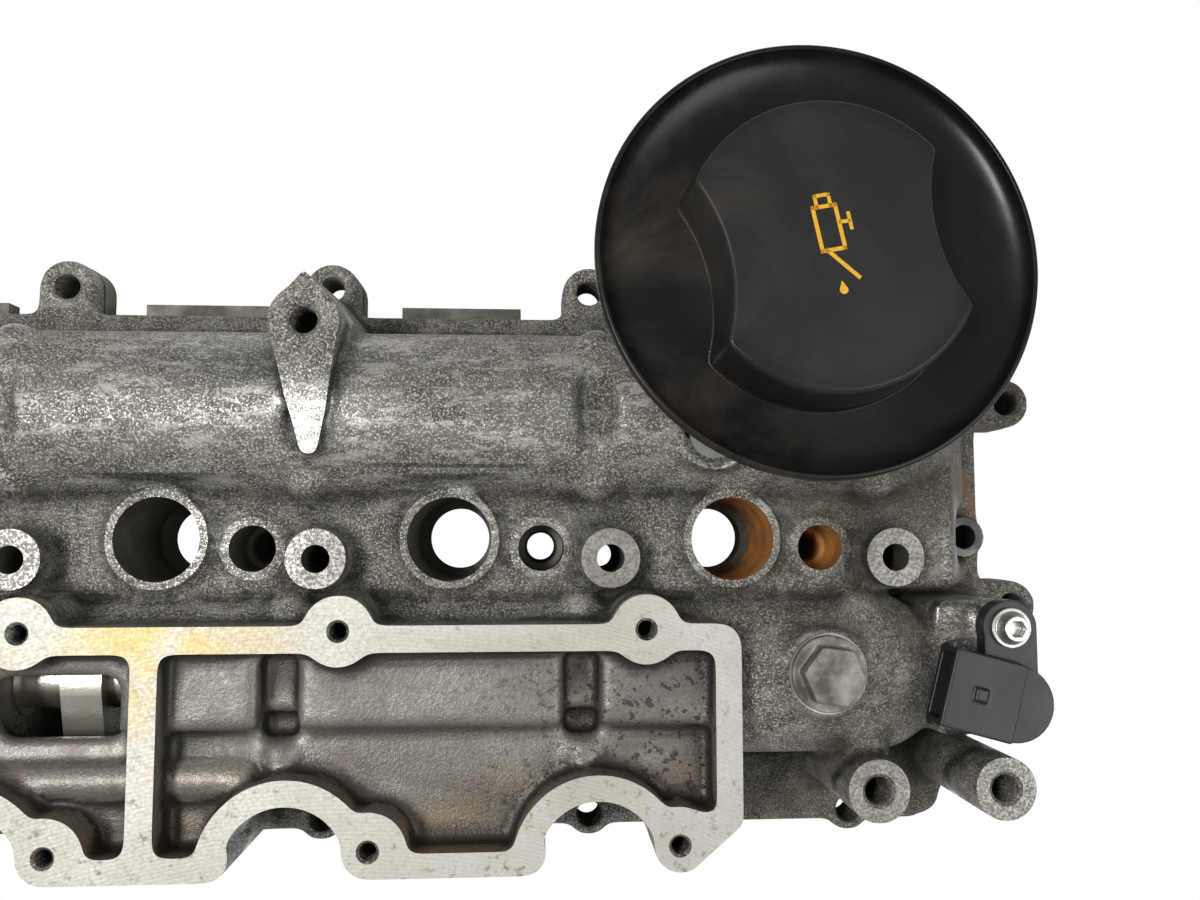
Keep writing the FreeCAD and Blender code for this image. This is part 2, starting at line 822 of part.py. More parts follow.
def gasket_block():
    """The raised frame: a block with round bosses, scalloped for the rail bolts below it."""
    block = plate("frame_block", ("-frame_left", "frame_right"),
                  ("-frame_front", "-frame_back"), ("ladder_top", "gasket_top"),
                  "frame_corner")
    bosses = []
    for side in ("back", "front"):
        for i, x in enumerate(thread_places(side)):
            bosses.append(rod(f"{side}_thread_boss_{i}", f"{side}_thread_boss", "ladder_top",
                              "gasket_top", x, f"-{side}_thread_row"))
    round_row = "-frame_front + mouth_round"
    notches = [corner_tool()]
    for i, x in enumerate(notch_places()):
        notches.append(rod(f"notch_{i}", "notch_radius", "rail_top", "gasket_top + 1", x,
                           "-notch_row"))
        notches.append(span_box(f"notch_mouth_{i}", (f"{x} - mouth_reach", f"{x} + mouth_reach"),
                                ("-frame_front - 1", round_row), ("rail_top", "gasket_top + 1")))
        bosses.append(rod(f"mouth_round_{i}", "mouth_round", "ladder_top", "gasket_top",
                          f"{x} - mouth_reach", round_row))
    return fuse("gasket_frame", [cut("gasket_frame_open", block, notches)] + bosses)


def corner_tool():
    """Cuts the frame slantwise across its front right corner."""
    points = [("frame_right - 2 * corner_run", "-frame_front - corner_rise"),
              ("frame_right + corner_run", "-frame_front - corner_rise"),
              ("frame_right + corner_run", "-frame_front + 2 * corner_rise")]
    return slab("frame_corner_cut", points, ("rail_top", "gasket_top + 1"))


def pocket_tool():
    """The two shallow compartments inside the gasket frame, each with two floor levels."""
    top = "gasket_top + 1"
    front = "-frame_front + frame_width - 0.8"
    back = "-frame_back - frame_width"
    halls = {
        "right": ("-divider_right", "frame_right - frame_width"),
        "left": ("-frame_left + frame_width", "-divider_left"),
    }
    parts = []
    for label, x_range in halls.items():
        parts.append(plate(f"{label}_shelf", x_range, (front, back), ("shelf_floor", top), "3.2"))
        parts.append(plate(f"{label}_floor", x_range, (front, "-shelf_edge"),
                           ("lower_floor", "shelf_floor + 1"), "3.2"))
    keep = []
    for i, x in enumerate(thread_places("back")):
        keep.append(rod(f"back_thread_land_{i}", "back_thread_boss", "ladder_top",
                        "gasket_top + 2", x, "-back_thread_row"))
    for i, x in enumerate(thread_places("front")):
        keep.append(rod(f"front_thread_land_{i}", "front_thread_land", "ladder_top",
                        "gasket_top + 2", x, "-front_thread_row"))
    for i, x in enumerate(notch_places()):
        keep.append(rod(f"notch_land_{i}", "notch_radius + frame_width - 0.4", "ladder_top",
                        "gasket_top + 2", x, "-notch_row"))
    for i, x in enumerate(journal_places("front")):
        keep.append(ball(f"pocket_dome_{i}", "column_radius", x,
                         "-front_cam_row - column_offset", "pocket_column_top - column_radius"))
    keep.append(span_box("corner_keep", ("front_thread_last", "frame_right + 1"),
                         ("-frame_front", "-corner_land"), ("ladder_top", "gasket_top + 2")))
    keep.append(bar("gallery", "gallery_radius", "-frame_left", "-gallery_end",
                    "-gallery_row", "gallery_height"))
    keep.append(ball("gallery_tip", "gallery_radius", "-gallery_end", "-gallery_row",
                     "gallery_height"))
    return cut("pocket", fuse("pocket_halls", parts), keep)


def pocket_reliefs():
    """The upright reliefs in the pocket floor beside the bearing webs, and the window."""
    parts = []
    for i, x in enumerate(journal_places("front")[1:3]):
        x_range = (f"{x} - relief_width / 2", f"{x} + relief_width / 2")
        parts.append(plate(f"relief_{i}", x_range,
                           ("-window_front - 1", "-frame_back - frame_width - 0.6"),
                           ("relief_floor", "shelf_floor + 1"), "2.5"))
        parts.append(plate(f"relief_hole_{i}", x_range,
                           ("-window_front - 1", "-window_front + 7"),
                           ("relief_hole_floor", "relief_floor + 1"), "2.5"))
    parts.append(plate("window", ("-window_left", "-window_right"),
                       ("-window_front", "-window_back"),
                       ("cam_height + 12", "shelf_floor + 1"), "window_corner"))
    return parts


def casting_cavities():
    """The hollows under the cover: the camshaft bays, the bearing seats and the oil bays."""
    parts = []
    low = "ladder_top - 1"
    for side, row in SIDES.items():
        for i, (left, right) in enumerate(bay_ranges(side)):
            last = side == "front" and i == CYLINDERS
            roof = "wheel_bay_radius" if last else "cavity_radius"
            parts.append(bar(f"bay_roof_{side}_{i}", roof, left, right, row, "cam_height"))
            parts.append(span_box(f"bay_{side}_{i}", (left, right),
                                  (f"{row} - {roof}", f"{row} + {roof}"),
                                  (low, "cam_height")))
        for i, x in enumerate(journal_places(side)):
            half = "(saddle_half + saddle_gap)"
            parts.append(span_box(f"seat_{side}_{i}",
                                  (web_left(side, i), f"{x} + web_thick / 2"),
                                  (f"{row} - {half}", f"{row} + {half}"), (low, "cam_height")))
    parts.append(bar("front_bore", "journal_radius + journal_gap", "end_wall - tunnel_left",
                     "front_bay_right", "-front_cam_row", "cam_height"))
    parts.append(bar("back_bore", "journal_radius + journal_gap", "-cover_left - 1",
                     "back_bay_right", "back_cam_row", "cam_height"))
    parts.append(bar("seal_seat", "seal_radius", "-cover_left - 1",
                     "-cover_left + seal_thick", "back_cam_row", "cam_height"))
    for i, x_range in enumerate(oil_bay_ranges()):
        parts.append(span_box(f"oil_bay_{i}", x_range, ("-oil_bay_front", "-oil_bay_back"),
                              (low, "oil_bay_top")))
    return parts


def threaded_mouth(prefix, radius, mouth, top, depth, x, y):
    """A drilled hole with a chamfered mouth."""
    hole = rod(prefix, radius, f"{top} - ({depth})", f"{top} + 1", x, y)
    flare = cone(prefix + "_mouth", radius, f"{mouth} + 0.2", f"{top} - ({mouth} - {radius})",
                 f"{top} + 0.2", x, y)
    return [hole, flare]


def casting_holes():
    parts = rail_holes("cover", "ladder_top - 1", "head_bolt_top + 20")
    for i, x in enumerate(well_places()):
        glow = f"{x} + glow_offset"
        parts.append(rod(f"well_{i}", "well_radius", "ladder_top - 1", "deck_top + 20", x, 0))
        parts.append(rod(f"glow_{i}", "glow_radius", "glow_foot_top", "deck_top + 20", glow,
                         "-glow_row"))
        parts.append(rod(f"glow_foot_{i}", "glow_foot_radius", "ladder_top - 1",
                         "glow_foot_top + 1", glow, "-glow_row"))
    for side in SIDES:
        for i, x in enumerate(thread_places(side)):
            parts += threaded_mouth(f"gasket_thread_{side}_{i}", "gasket_thread_radius",
                                    "gasket_thread_mouth", "gasket_top",
                                    "gasket_thread_depth", x, f"-{side}_thread_row")
    for label in ("left", "right"):
        parts += threaded_mouth(f"pillar_thread_{label}", "pillar_thread_radius",
                                "pillar_thread_mouth", "pillar_top", "pillar_thread_depth",
                                f"pillar_{label}", "-pillar_row")
    parts += threaded_mouth("ear_thread", "ear_thread_radius", "pillar_thread_mouth",
                            "ear_top", "ear_thread_depth", "-ear_column", "ear_row")
    return parts


def fitted_holes():
    """Seats of the pieces that are fixed to the casting."""
    parts = [
        rod("plug_hole", "plug_shank_radius", "cam_height", "plug_seat + 1", "plug_column",
            "-plug_row"),
        rod("plug_spot_face", "plug_flange_radius + 1.2", "plug_seat - 0.6", "plug_seat + 9",
            "plug_column", "-plug_row"),
        rod("socket_recess", "socket_recess_radius", "socket_recess_floor",
            "socket_rim_top + 9", "socket_column", "socket_row"),
        rod("socket_hole", "socket_shank_radius", "cam_height", "socket_rim_top",
            "socket_column", "socket_row"),
        rod("sleeve_hole", "sleeve_radius", "ladder_top - 1", "rail_top + 1", "sleeve_column",
            "sleeve_row"),
        rod("sleeve_clear", "sleeve_boss_radius + 1", "rail_top", "deck_top", "sleeve_column",
            "sleeve_row"),
        rod("sensor_hole", "sensor_probe_radius + sensor_bore_gap", "cam_height",
            "sensor_seat + 1", "sensor_column", "-sensor_row"),
        rod("sensor_screw_hole", "sensor_screw_radius", "sensor_seat - sensor_screw_reach",
            "sensor_seat + 1", *sensor_ear_spot()),
    ]
    for side, i, j, x, y in ladder_screw_spots():
        parts.append(rod(f"ladder_thread_{side}_{i}_{j}", "ladder_screw_radius",
                         "ladder_top - 1", "ladder_screw_reach", x, y))
    parts.append(lean_rod("oil_passage", "passage_radius", "neck_foot - 1", "neck_foot + 42"))
    distance = size("neck_ear_distance")
    for i, heading in enumerate((0.0, 180.0)):
        parts.append(lean_rod(f"neck_thread_{i}", "neck_screw_radius", "neck_foot - 1",
                              "neck_foot + neck_screw_reach - neck_flange_thick",
                              distance, heading))
    return parts


def back_slots():
    parts = []
    for i, x in enumerate(journal_places("back")[:4]):
        parts.append(plate(f"slot_{i}", (f"{x} - slot_width / 2", f"{x} + slot_width / 2"),
                           ("back_cam_row - slot_length / 2", "back_cam_row + slot_length / 2"),
                           ("slot_floor", "gasket_top"), "2.2"))
    return parts


def build_casting():
    rail = rail_plate("cover_rail", "ladder_top", "rail_top")
    body = fuse("casting_rough", [rail, gasket_block()] + casting_tunnels() + casting_deck()
                + casting_columns() + casting_right_end() + casting_neck_boss()
                + rail_ears("cover", "ladder_top", "rail_top"))
    slotted = cut("casting_slotted", body, back_slots())
    eared = fuse("casting_eared", [slotted] + casting_ear())
    hollow = cut("casting_hollow", eared, casting_cavities() + [pocket_tool()]
                 + pocket_reliefs())
    publish(cut("casting", hollow, casting_holes() + fitted_holes()), "cover_casting")


# The camshafts.

def lobe(name, x, row, angle):
    """One cam: a base circle and a small nose circle joined by flanks."""
    base = bar(name + "_base", "lobe_base_radius", f"{x} - lobe_thick / 2",
               f"{x} + lobe_thick / 2", row, "cam_height")
    reach = "(lobe_base_radius + lobe_lift - lobe_nose_radius)"
    turn = f"{angle}"
    y = f"{row} + {reach} * cos({turn})"
    z = f"cam_height + {reach} * sin({turn})"
    nose = bar(name + "_nose", "lobe_nose_radius", f"{x} - lobe_thick / 2",
               f"{x} + lobe_thick / 2", y, z)
    return [base, nose, flank_wedge(name + "_flanks", x, row, angle)]


def flank_wedge(name, x, row, angle):
    """The straight-sided stretch between the base circle and the nose circle."""
    base = size("lobe_base_radius")
    tip = size("lobe_nose_radius")
    reach = base + size("lobe_lift") - tip
    slope = math.acos((base - tip) / reach)
    half = size("lobe_thick") / 2
    corners = []
    for radius, along, sign in ((base, 0, 1), (tip, reach, 1), (tip, reach, -1), (base, 0, -1)):
        corners.append(Vector(-half, along + radius * math.cos(slope),
                              sign * radius * math.sin(slope)))
    corners.append(corners[0])
    feature = doc.addObject("Part::Feature", name)
    feature.Shape = Part.Face(Part.makePolygon(corners)).extrude(Vector(2 * half, 0, 0))
    feature.Placement = Placement(Vector(), Rotation(Vector(1, 0, 0), angle))
    set_at(feature, x, row, "cam_height")
    return feature


# Angle of each cylinder's cams at rest, in degrees about the shaft.
FIRING_TURNS = (0, 90, 270, 180)


def build_camshaft(side, start_angle):
    row = SIDES[side]
    places = journal_places(side)
    left = "end_wall + 0.5 - tunnel_left"
    right = f"{places[0]} + web_thick / 2 + 1"
    if side == "back":
        left = "-cover_left - nose_reach"
    parts = [bar(f"{side}_shaft", "shaft_radius", left, right, row, "cam_height")]
    if side == "back":
        parts.append(bar("back_nose", "nose_radius", left, f"{places[-1]}", row, "cam_height"))
    else:
        parts.append(bar("front_tail", "shaft_radius", right, "wheel_place + wheel_thick + 2",
                         row, "cam_height"))
    for i, x in enumerate(places):
        start = left if i == JOURNALS - 1 and side == "front" else f"{x} - web_thick / 2 + 0.5"
        parts.append(bar(f"{side}_journal_{i}", "journal_radius", start,
                         f"{x} + web_thick / 2 - 0.5", row, "cam_height"))
    for i, x in enumerate(well_places()):
        angle = start_angle + FIRING_TURNS[i]
        for j, sign in enumerate("+-"):
            parts += lobe(f"{side}_lobe_{i}_{j}", f"{x} {sign} lobe_offset", row, angle)
    shaft = fuse(f"{side}_camshaft_solid", parts)
    if side == "back":
        shaft = cut("back_camshaft_drilled", shaft,
                    [bar("nose_thread", 5, f"{left} - 1", f"{left} + 24", row, "cam_height")])
    return shaft


def build_camshafts():
    publish(build_camshaft("front", 250), "camshaft_intake")
    publish(build_camshaft("back", 290), "camshaft_exhaust")
    rim = bar("wheel_rim", "wheel_radius", "wheel_place", "wheel_place + wheel_thick",
              "-front_cam_row", "cam_height")
    teeth = [bar("wheel_bore", "shaft_radius", "wheel_place - 1", "wheel_place + wheel_thick + 1",
                 "-front_cam_row", "cam_height")]
    for i, angle in enumerate((30, 150, 270)):
        gap = box(f"wheel_gap_{i}", ("wheel_place - 1", "-front_cam_row", "cam_height"),
                  ("wheel_thick + 2", "wheel_radius + 2", "5"))
        gap.Placement = Placement(Vector(), Rotation(Vector(1, 0, 0), angle))
        reach = "(shaft_radius + 1.2)"
        set_at(gap, "wheel_place - 1", f"-front_cam_row + {reach} * cos({angle})",
               f"cam_height + {reach} * sin({angle})")
        teeth.append(gap)
    publish(cut("wheel", rim, teeth), "sensor_wheel")
    ring = bar("seal_ring", "seal_radius", "-cover_left + 0.5", "-cover_left + seal_thick",
               "back_cam_row", "cam_height")
    hole = bar("seal_hole", "nose_radius + 0.1", "-cover_left - 1",
               "-cover_left + seal_thick + 1", "back_cam_row", "cam_height")
    publish(cut("seal", ring, [hole]), "camshaft_seal")


# The oil filler.

def build_cap():
    shell = turned("cap_shell", [
        (0, "knob_height"), ("knob_radius - 2.2", "knob_height"),
        ("knob_radius", "knob_height - 2.2"), ("knob_radius + 1.2", "-valley_depth + 4"),
        ("valley_inner", "-valley_depth + 0.6"), ("valley_outer", "-valley_depth"),
        ("cap_radius - 4", "-3.5"), ("cap_radius - 1.8", 0), ("cap_radius", 0),
        ("cap_radius", "-2.6"), ("cap_radius - 2.2", "-5.4"), ("valley_outer + 1", "-insert_depth"),
        (0, "-insert_depth")])
    shell.Placement = lean_frame()
    scallops = []
    walls = []
    reach = lean_rod("scallop_reach", "valley_inner + 1", "-knob_height - 2", "valley_depth")
    for i in range(2):
        heading = size("scallop_heading") + 180 * i
        distance = size("scallop_distance")
        grip = doc.addObject("Part::Common", f"scallop_{i}")
        grip.Base = reach
        grip.Tool = lean_rod(f"scallop_round_{i}", "scallop_radius", "-knob_height - 1",
                             "valley_depth - 0.5", distance, heading)
        scallops.append(grip)
        walls.append(lean_rod(f"scallop_wall_{i}", "scallop_radius + cap_wall",
                              "-knob_height - 1", "insert_depth + 1", distance, heading))
    hollow = lean_rod("knob_hollow", "knob_radius - cap_wall", "cap_wall - knob_height",
                      "insert_depth + 1")
    cap = cut("cap_scalloped", shell, scallops + [cut("knob_room", hollow, walls)])
    publish(cap, "filler_cap")


def build_cap_insert():
    low = "insert_depth + insert_thick"
    disc = lean_rod("insert_disc", "insert_radius", "insert_depth", low)
    stem = lean_rod("insert_stem", "stem_radius", "insert_depth - insert_spigot", "stem_foot")
    lugs = lean_rod("insert_lug_ring", "lug_radius", "stem_foot - lug_thick", "stem_foot")
    keep = doc.addObject("Part::Box", "insert_lug_span")
    bind(keep, "Length", "2 * lug_radius + 2")
    bind(keep, "Width", "lug_width")
    bind(keep, "Height", "lug_thick + 2")
    frame = lean_frame(0, size("scallop_heading"))
    corner = Vector(-size("lug_radius") - 1, -size("lug_width") / 2, -size("stem_foot") - 1)
    keep.Placement = Placement(frame.multVec(corner), frame.Rotation)
    lug_pair = doc.addObject("Part::Common", "insert_lugs")
    lug_pair.Base = lugs
    lug_pair.Tool = keep
    solid = fuse("insert_solid", [disc, stem, lug_pair])
    bore = lean_rod("insert_bore", "stem_radius - stem_wall", "insert_depth",
                    "stem_foot + 1")
    publish(cut("insert", solid, [bore]), "cap_insert")
    ring = lean_rod("cap_seal_ring", "seal_ring_outer", low, f"{low} + seal_ring_thick")
    hole = lean_rod("cap_seal_hole", "neck_bore", f"{low} - 1", f"{low} + seal_ring_thick + 1")
    publish(cut("cap_seal_cut", ring, [hole]), "cap_seal")


def build_neck():
    top = "insert_depth + insert_thick + seal_ring_thick + neck_gap"
    distance = size("neck_ear_distance")
    parts = [lean_rod("neck_tube", "neck_outer", top, "neck_foot"),
             lean_rod("neck_flange", "neck_flange_radius", "neck_foot - neck_flange_thick",
                      "neck_foot")]
    for i, heading in enumerate((0.0, 180.0)):
        parts.append(lean_rod(f"neck_ear_{i}", "neck_ear_radius",
                              "neck_foot - neck_flange_thick", "neck_foot", distance, heading))
    holes = [lean_rod("neck_lip_bore", "neck_bore", f"{top} - 1", "neck_foot + 1"),
             lean_rod("neck_chamber_bore", "neck_chamber", "neck_lip_depth",
                      "neck_foot - neck_flange_thick")]
    slot = doc.addObject("Part::Box", "neck_entry_span")
    bind(slot, "Length", "2 * neck_chamber + 2")
    bind(slot, "Width", "lug_width + 3")
    bind(slot, "Height", f"neck_lip_depth + 1 - ({top}) + 1")
    frame = lean_frame(0, size("scallop_heading") + 90)
    corner = Vector(-size("neck_chamber") - 1, -size("lug_width") / 2 - 1.5,
                    -size("neck_lip_depth") - 1)
    slot.Placement = Placement(frame.multVec(corner), frame.Rotation)
    entry = doc.addObject("Part::Common", "neck_entry")
    entry.Base = lean_rod("neck_entry_ring", "neck_chamber", f"{top} - 1", "neck_lip_depth + 1")
    entry.Tool = slot
    holes.append(entry)
    groove = cut("neck_groove",
                 lean_rod("neck_groove_outer", "neck_seal_outer", "neck_foot - neck_seal_thick",
                          "neck_foot + 1"),
                 [lean_rod("neck_groove_inner", "neck_seal_inner",
                           "neck_foot - neck_seal_thick - 1", "neck_foot + 2")])
    holes.append(groove)
    for i, heading in enumerate((0.0, 180.0)):
        holes.append(lean_rod(f"neck_screw_hole_{i}", "neck_screw_radius + 0.3",
                              "neck_foot - neck_flange_thick - 1", "neck_foot + 1",
                              distance, heading))
    publish(cut("neck", fuse("neck_solid", parts), holes), "oil_filler_neck")
    ring = lean_rod("neck_seal_ring", "neck_seal_outer", "neck_foot - neck_seal_thick",
                    "neck_foot")
    hole = lean_rod("neck_seal_hole", "neck_seal_inner", "neck_foot - neck_seal_thick - 1",
                    "neck_foot + 1")
    publish(cut("neck_seal_cut", ring, [hole]), "neck_seal")
    seat = "neck_foot - neck_flange_thick"
    for i, heading in enumerate((0.0, 180.0)):
        head = lean_rod(f"neck_screw_head_{i}", "neck_screw_head",
                        f"{seat} - neck_screw_head_height", seat, distance, heading)
        shank = lean_rod(f"neck_screw_shank_{i}", "neck_screw_radius", seat,
                         f"{seat} + neck_screw_reach", distance, heading)
        key = lean_rod(f"neck_screw_key_{i}", "neck_screw_radius * 0.8",
                       f"{seat} - neck_screw_head_height - 1",
                       f"{seat} - neck_screw_head_height / 2", distance, heading)
        publish(cut(f"neck_screw_cut_{i}", fuse(f"neck_screw_solid_{i}", [head, shank]), [key]),
                f"neck_screw_{i + 1}")


# The plugs, the guide sleeve and the position sensor.

def build_plugs():
    seat = "plug_seat - 0.6"
    washer_top = f"{seat} + plug_washer_thick"
    ring = rod("plug_ring", "plug_flange_radius + 0.6", seat, washer_top, "plug_column",
               "-plug_row")
    hole = rod("plug_ring_hole", "plug_shank_radius + 0.2", "plug_seat - 3", "plug_seat + 3",
               "plug_column", "-plug_row")
    publish(cut("plug_washer_cut", ring, [hole]), "plug_washer")
    flange_top = f"{washer_top} + plug_flange_thick"
    flange = rod("plug_flange", "plug_flange_radius", washer_top, flange_top, "plug_column",
                 "-plug_row")
    head = hexagon("plug_hex", "plug_hex_across", flange_top,
                   f"{flange_top} + plug_hex_height", "plug_column", "-plug_row")
    head.Placement = Placement(Vector(), Rotation(Vector(0, 0, 1), -7))
    shank = rod("plug_shank", "plug_shank_radius", "plug_seat - plug_shank_reach", washer_top,
                "plug_column", "-plug_row")
    publish(fuse("plug_solid", [flange, head, shank]), "screw_plug")
    top = "socket_recess_floor + socket_head_height"
    cap = rod("socket_head", "socket_head_radius", "socket_recess_floor", top, "socket_column",
              "socket_row")
    stem = rod("socket_stem", "socket_shank_radius", "socket_recess_floor - 6",
               "socket_recess_floor", "socket_column", "socket_row")
    key = hexagon("socket_key", "socket_key_across", f"{top} - socket_key_depth", f"{top} + 1",
                  "socket_column", "socket_row")
    publish(cut("socket_plug_cut", fuse("socket_plug_solid", [cap, stem]), [key]),
            "socket_plug")
    tube = rod("sleeve_tube", "sleeve_radius", "ladder_top", "sleeve_top", "sleeve_column",
               "sleeve_row")
    bore = rod("sleeve_bore_hole", "sleeve_bore", "ladder_top - 1", "sleeve_top + 1",
               "sleeve_column", "sleeve_row")
    publish(cut("sleeve", tube, [bore]), "guide_sleeve")


def sensor_box(name, left, right, half, low, high):
    """A block in the sensor's own frame, whose X axis runs out of the connector."""
    obj = doc.addObject("Part::Box", name)
    bind(obj, "Length", f"({right}) - ({left})")
    bind(obj, "Width", f"2 * ({half})")
    bind(obj, "Height", f"({high}) - ({low})")
    obj.Placement = Placement(Vector(), Rotation(Vector(0, 0, 1), size("sensor_turn")))
    shift = f"({left})"
    side = f"({half})"
    set_at(obj, f"sensor_column + {shift} * cos(sensor_turn) + {side} * sin(sensor_turn)",
           f"-sensor_row + {shift} * sin(sensor_turn) - {side} * cos(sensor_turn)", low)
    return obj


def build_sensor():
    seat = "sensor_seat"
    base = f"{seat} + shroud_lift"
    top = f"{base} + shroud_height"
    ear_x, ear_y = sensor_ear_spot()
    ear_top = f"{seat} + sensor_ear_thick"
    grip = "sensor_probe_radius - sensor_oring_section"
    parts = [
        rod("sensor_disc", "sensor_flange_radius", seat, f"{seat} + sensor_flange_thick + 4",
            "sensor_column", "-sensor_row"),
        rod("sensor_probe", "sensor_probe_radius", "sensor_probe_tip", seat, "sensor_column",
            "-sensor_row"),
        rod("sensor_ear", "sensor_ear_radius", seat, ear_top, ear_x, ear_y),
        span_box("sensor_ear_bridge", ("sensor_column - sensor_ear_radius + 1",
                                       "sensor_column + sensor_ear_radius + 0.6"),
                 ("-sensor_row", ear_y), (seat, ear_top)),
        sensor_box("sensor_shroud", 0, "shroud_reach", "shroud_width / 2", base, top),
        sensor_box("sensor_collar", "shroud_reach - 1.6", "shroud_reach",
                   "shroud_width / 2 + 1", f"{base} + 1.5", f"{base} + 5"),
        sensor_box("sensor_catch", "shroud_reach - 12.5", "shroud_reach - 8.5", 2, top,
                   f"{top} + 1"),
    ]
    mouth = sensor_box("sensor_mouth", "shroud_reach - shroud_depth", "shroud_reach + 1",
                       "shroud_width / 2 - shroud_wall", f"{base} + shroud_wall",
                       f"{top} - shroud_wall")
    groove = cut("sensor_groove",
                 rod("sensor_groove_outer", "sensor_probe_radius + 1", f"{seat} - 5",
                     f"{seat} - 3", "sensor_column", "-sensor_row"),
                 [rod("sensor_groove_inner", grip, f"{seat} - 6", f"{seat} - 2",
                      "sensor_column", "-sensor_row")])
    ear_hole = rod("sensor_ear_hole", "sensor_sleeve_radius", f"{seat} - 1", f"{ear_top} + 1",
                   ear_x, ear_y)
    publish(cut("sensor", fuse("sensor_solid", parts), [mouth, groove, ear_hole]),
            "position_sensor")
    ring = rod("oring_outer", "sensor_probe_radius + sensor_bore_gap - 0.02", f"{seat} - 5",
               f"{seat} - 3", "sensor_column", "-sensor_row")
    hole = rod("oring_inner", grip, f"{seat} - 6", f"{seat} - 2", "sensor_column",
               "-sensor_row")
    publish(cut("oring", ring, [hole]), "sensor_oring")
    build_terminals(f"{base} + shroud_height / 2")
    build_sensor_screw(ear_x, ear_y, seat, ear_top)


def build_terminals(middle):
    for i in range(3):
        offset = f"({i - 1} * terminal_spacing)"
        pin = sensor_box(f"terminal_{i}", "shroud_reach - shroud_depth",
                         "shroud_reach - shroud_depth + terminal_reach", "terminal_width / 2",
                         f"{middle} - terminal_width / 2", f"{middle} + terminal_width / 2")
        shift = "(shroud_reach - shroud_depth)"
        side = f"(terminal_width / 2 + {offset})"
        set_at(pin, f"sensor_column + {shift} * cos(sensor_turn) + {side} * sin(sensor_turn)",
               f"-sensor_row + {shift} * sin(sensor_turn) - {side} * cos(sensor_turn)",
               f"{middle} - terminal_width / 2")
        publish(pin, f"sensor_terminal_{i + 1}")


def build_sensor_screw(x, y, seat, ear_top):
    tube = rod("sensor_sleeve_tube", "sensor_sleeve_radius", seat, ear_top, x, y)
    bore = rod("sensor_sleeve_bore", "sensor_screw_radius + 0.3", f"{seat} - 1",
               f"{ear_top} + 1", x, y)
    publish(cut("sensor_sleeve_cut", tube, [bore]), "sensor_sleeve")
    flange = rod("sensor_screw_disc", "sensor_screw_flange", ear_top, f"{ear_top} + 1.2", x, y)
    head = cone("sensor_screw_crown", "sensor_screw_head", "sensor_screw_head * 0.8",
                f"{ear_top} + 1.2", f"{ear_top} + 1.2 + sensor_screw_head_height", x, y)
    shank = rod("sensor_screw_shank", "sensor_screw_radius",
                f"{seat} - sensor_screw_reach", ear_top, x, y)
    key = hexagon("sensor_screw_key", "2 * sensor_key_radius * cos(30)",
                  f"{ear_top} + 2.2", f"{ear_top} + 9", x, y)
    publish(cut("sensor_screw_cut", fuse("sensor_screw_solid", [flange, head, shank]), [key]),
            "sensor_screw")


def check_and_export():
    doc.recompute()
    for obj in doc.Objects:
        if "Invalid" in obj.State or "Error" in obj.State:
            raise RuntimeError(f"{obj.Name} did not build: {obj.State}")
    for obj in subparts:
        shape = obj.Shape
        if shape.isNull() or not shape.isValid() or not shape.Solids:
            raise RuntimeError(f"{obj.Label} has no valid solid")
    os.makedirs("parts", exist_ok=True)
    for obj in subparts:
        solids = obj.Shape.Solids
        shape = solids[0] if len(solids) == 1 else obj.Shape
        shape.exportStep(os.path.join("parts", obj.Label + ".step"))
        print(obj.Label, len(solids), round(obj.Shape.Volume / 1000.0, 2), "cm3")


build_ladder()
build_ladder_screws()
build_casting()
build_camshafts()
build_cap()
build_cap_insert()
build_neck()
build_plugs()
build_sensor()
check_and_export()
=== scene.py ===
import math

import bmesh
import bpy
import numpy as np
from mathutils import Matrix, Vector, kdtree


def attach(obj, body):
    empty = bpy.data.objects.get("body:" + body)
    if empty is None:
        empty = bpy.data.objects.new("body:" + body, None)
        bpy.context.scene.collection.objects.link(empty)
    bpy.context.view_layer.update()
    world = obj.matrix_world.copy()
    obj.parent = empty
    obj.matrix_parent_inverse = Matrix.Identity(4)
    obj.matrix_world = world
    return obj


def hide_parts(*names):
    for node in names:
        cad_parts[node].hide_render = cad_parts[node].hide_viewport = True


# Looks of the camshaft cover. The frame is in metres; numbers in millimetres go through MM.

MM = 0.001

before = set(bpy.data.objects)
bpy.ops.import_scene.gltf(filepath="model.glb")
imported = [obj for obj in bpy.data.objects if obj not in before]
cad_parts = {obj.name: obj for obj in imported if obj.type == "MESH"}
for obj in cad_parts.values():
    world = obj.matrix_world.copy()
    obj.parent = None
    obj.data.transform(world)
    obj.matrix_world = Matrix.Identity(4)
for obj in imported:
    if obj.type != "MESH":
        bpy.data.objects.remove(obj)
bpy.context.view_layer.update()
scene = bpy.context.scene

# Where the holes of the casting stand, their radii, and the heights of the faces around them.

WELLS = (93.0, 0.0, -93.0, -186.0)
WELL_Y, WELL_RADIUS, WELL_TOP = 0.0, 13.65, 52.8
GLOW_X, GLOW_Y, GLOW_RADIUS, GLOW_TOP = 29.8, -3.0, 7.5, 51.2
HEAD_BOLTS = (145.0, 52.0, -41.0, -134.0, -227.0)
HEAD_Y, HEAD_RADIUS, HEAD_TOP = -6.1, 4.45, 61.5
RAIL_BOLTS = (140.2, 47.2, -45.8, -138.8, -231.8)
RAIL_ENDS = ((203.0, 50.0), (203.0, -25.0))
RAIL_BACK_Y, RAIL_FRONT_Y, RAIL_RADIUS = 89.6, -97.0, 4.4
BACK_THREADS = (61.9, -31.1, -124.1, -217.1)
FRONT_THREADS = (71.8, -21.2, -114.2, -207.2)
BACK_THREAD_Y, FRONT_THREAD_Y = -27.4, -92.0
PILLARS = ((133.3, -77.0), (173.2, -77.0))
EAR = (-44.6, 68.4)
GASKET_TOP, PILLAR_TOP, EAR_TOP = 75.3, 75.3, 69.5

# Faces above this height are turned bright. The lower ones keep the cast skin.
TURNED_ABOVE = 60.0

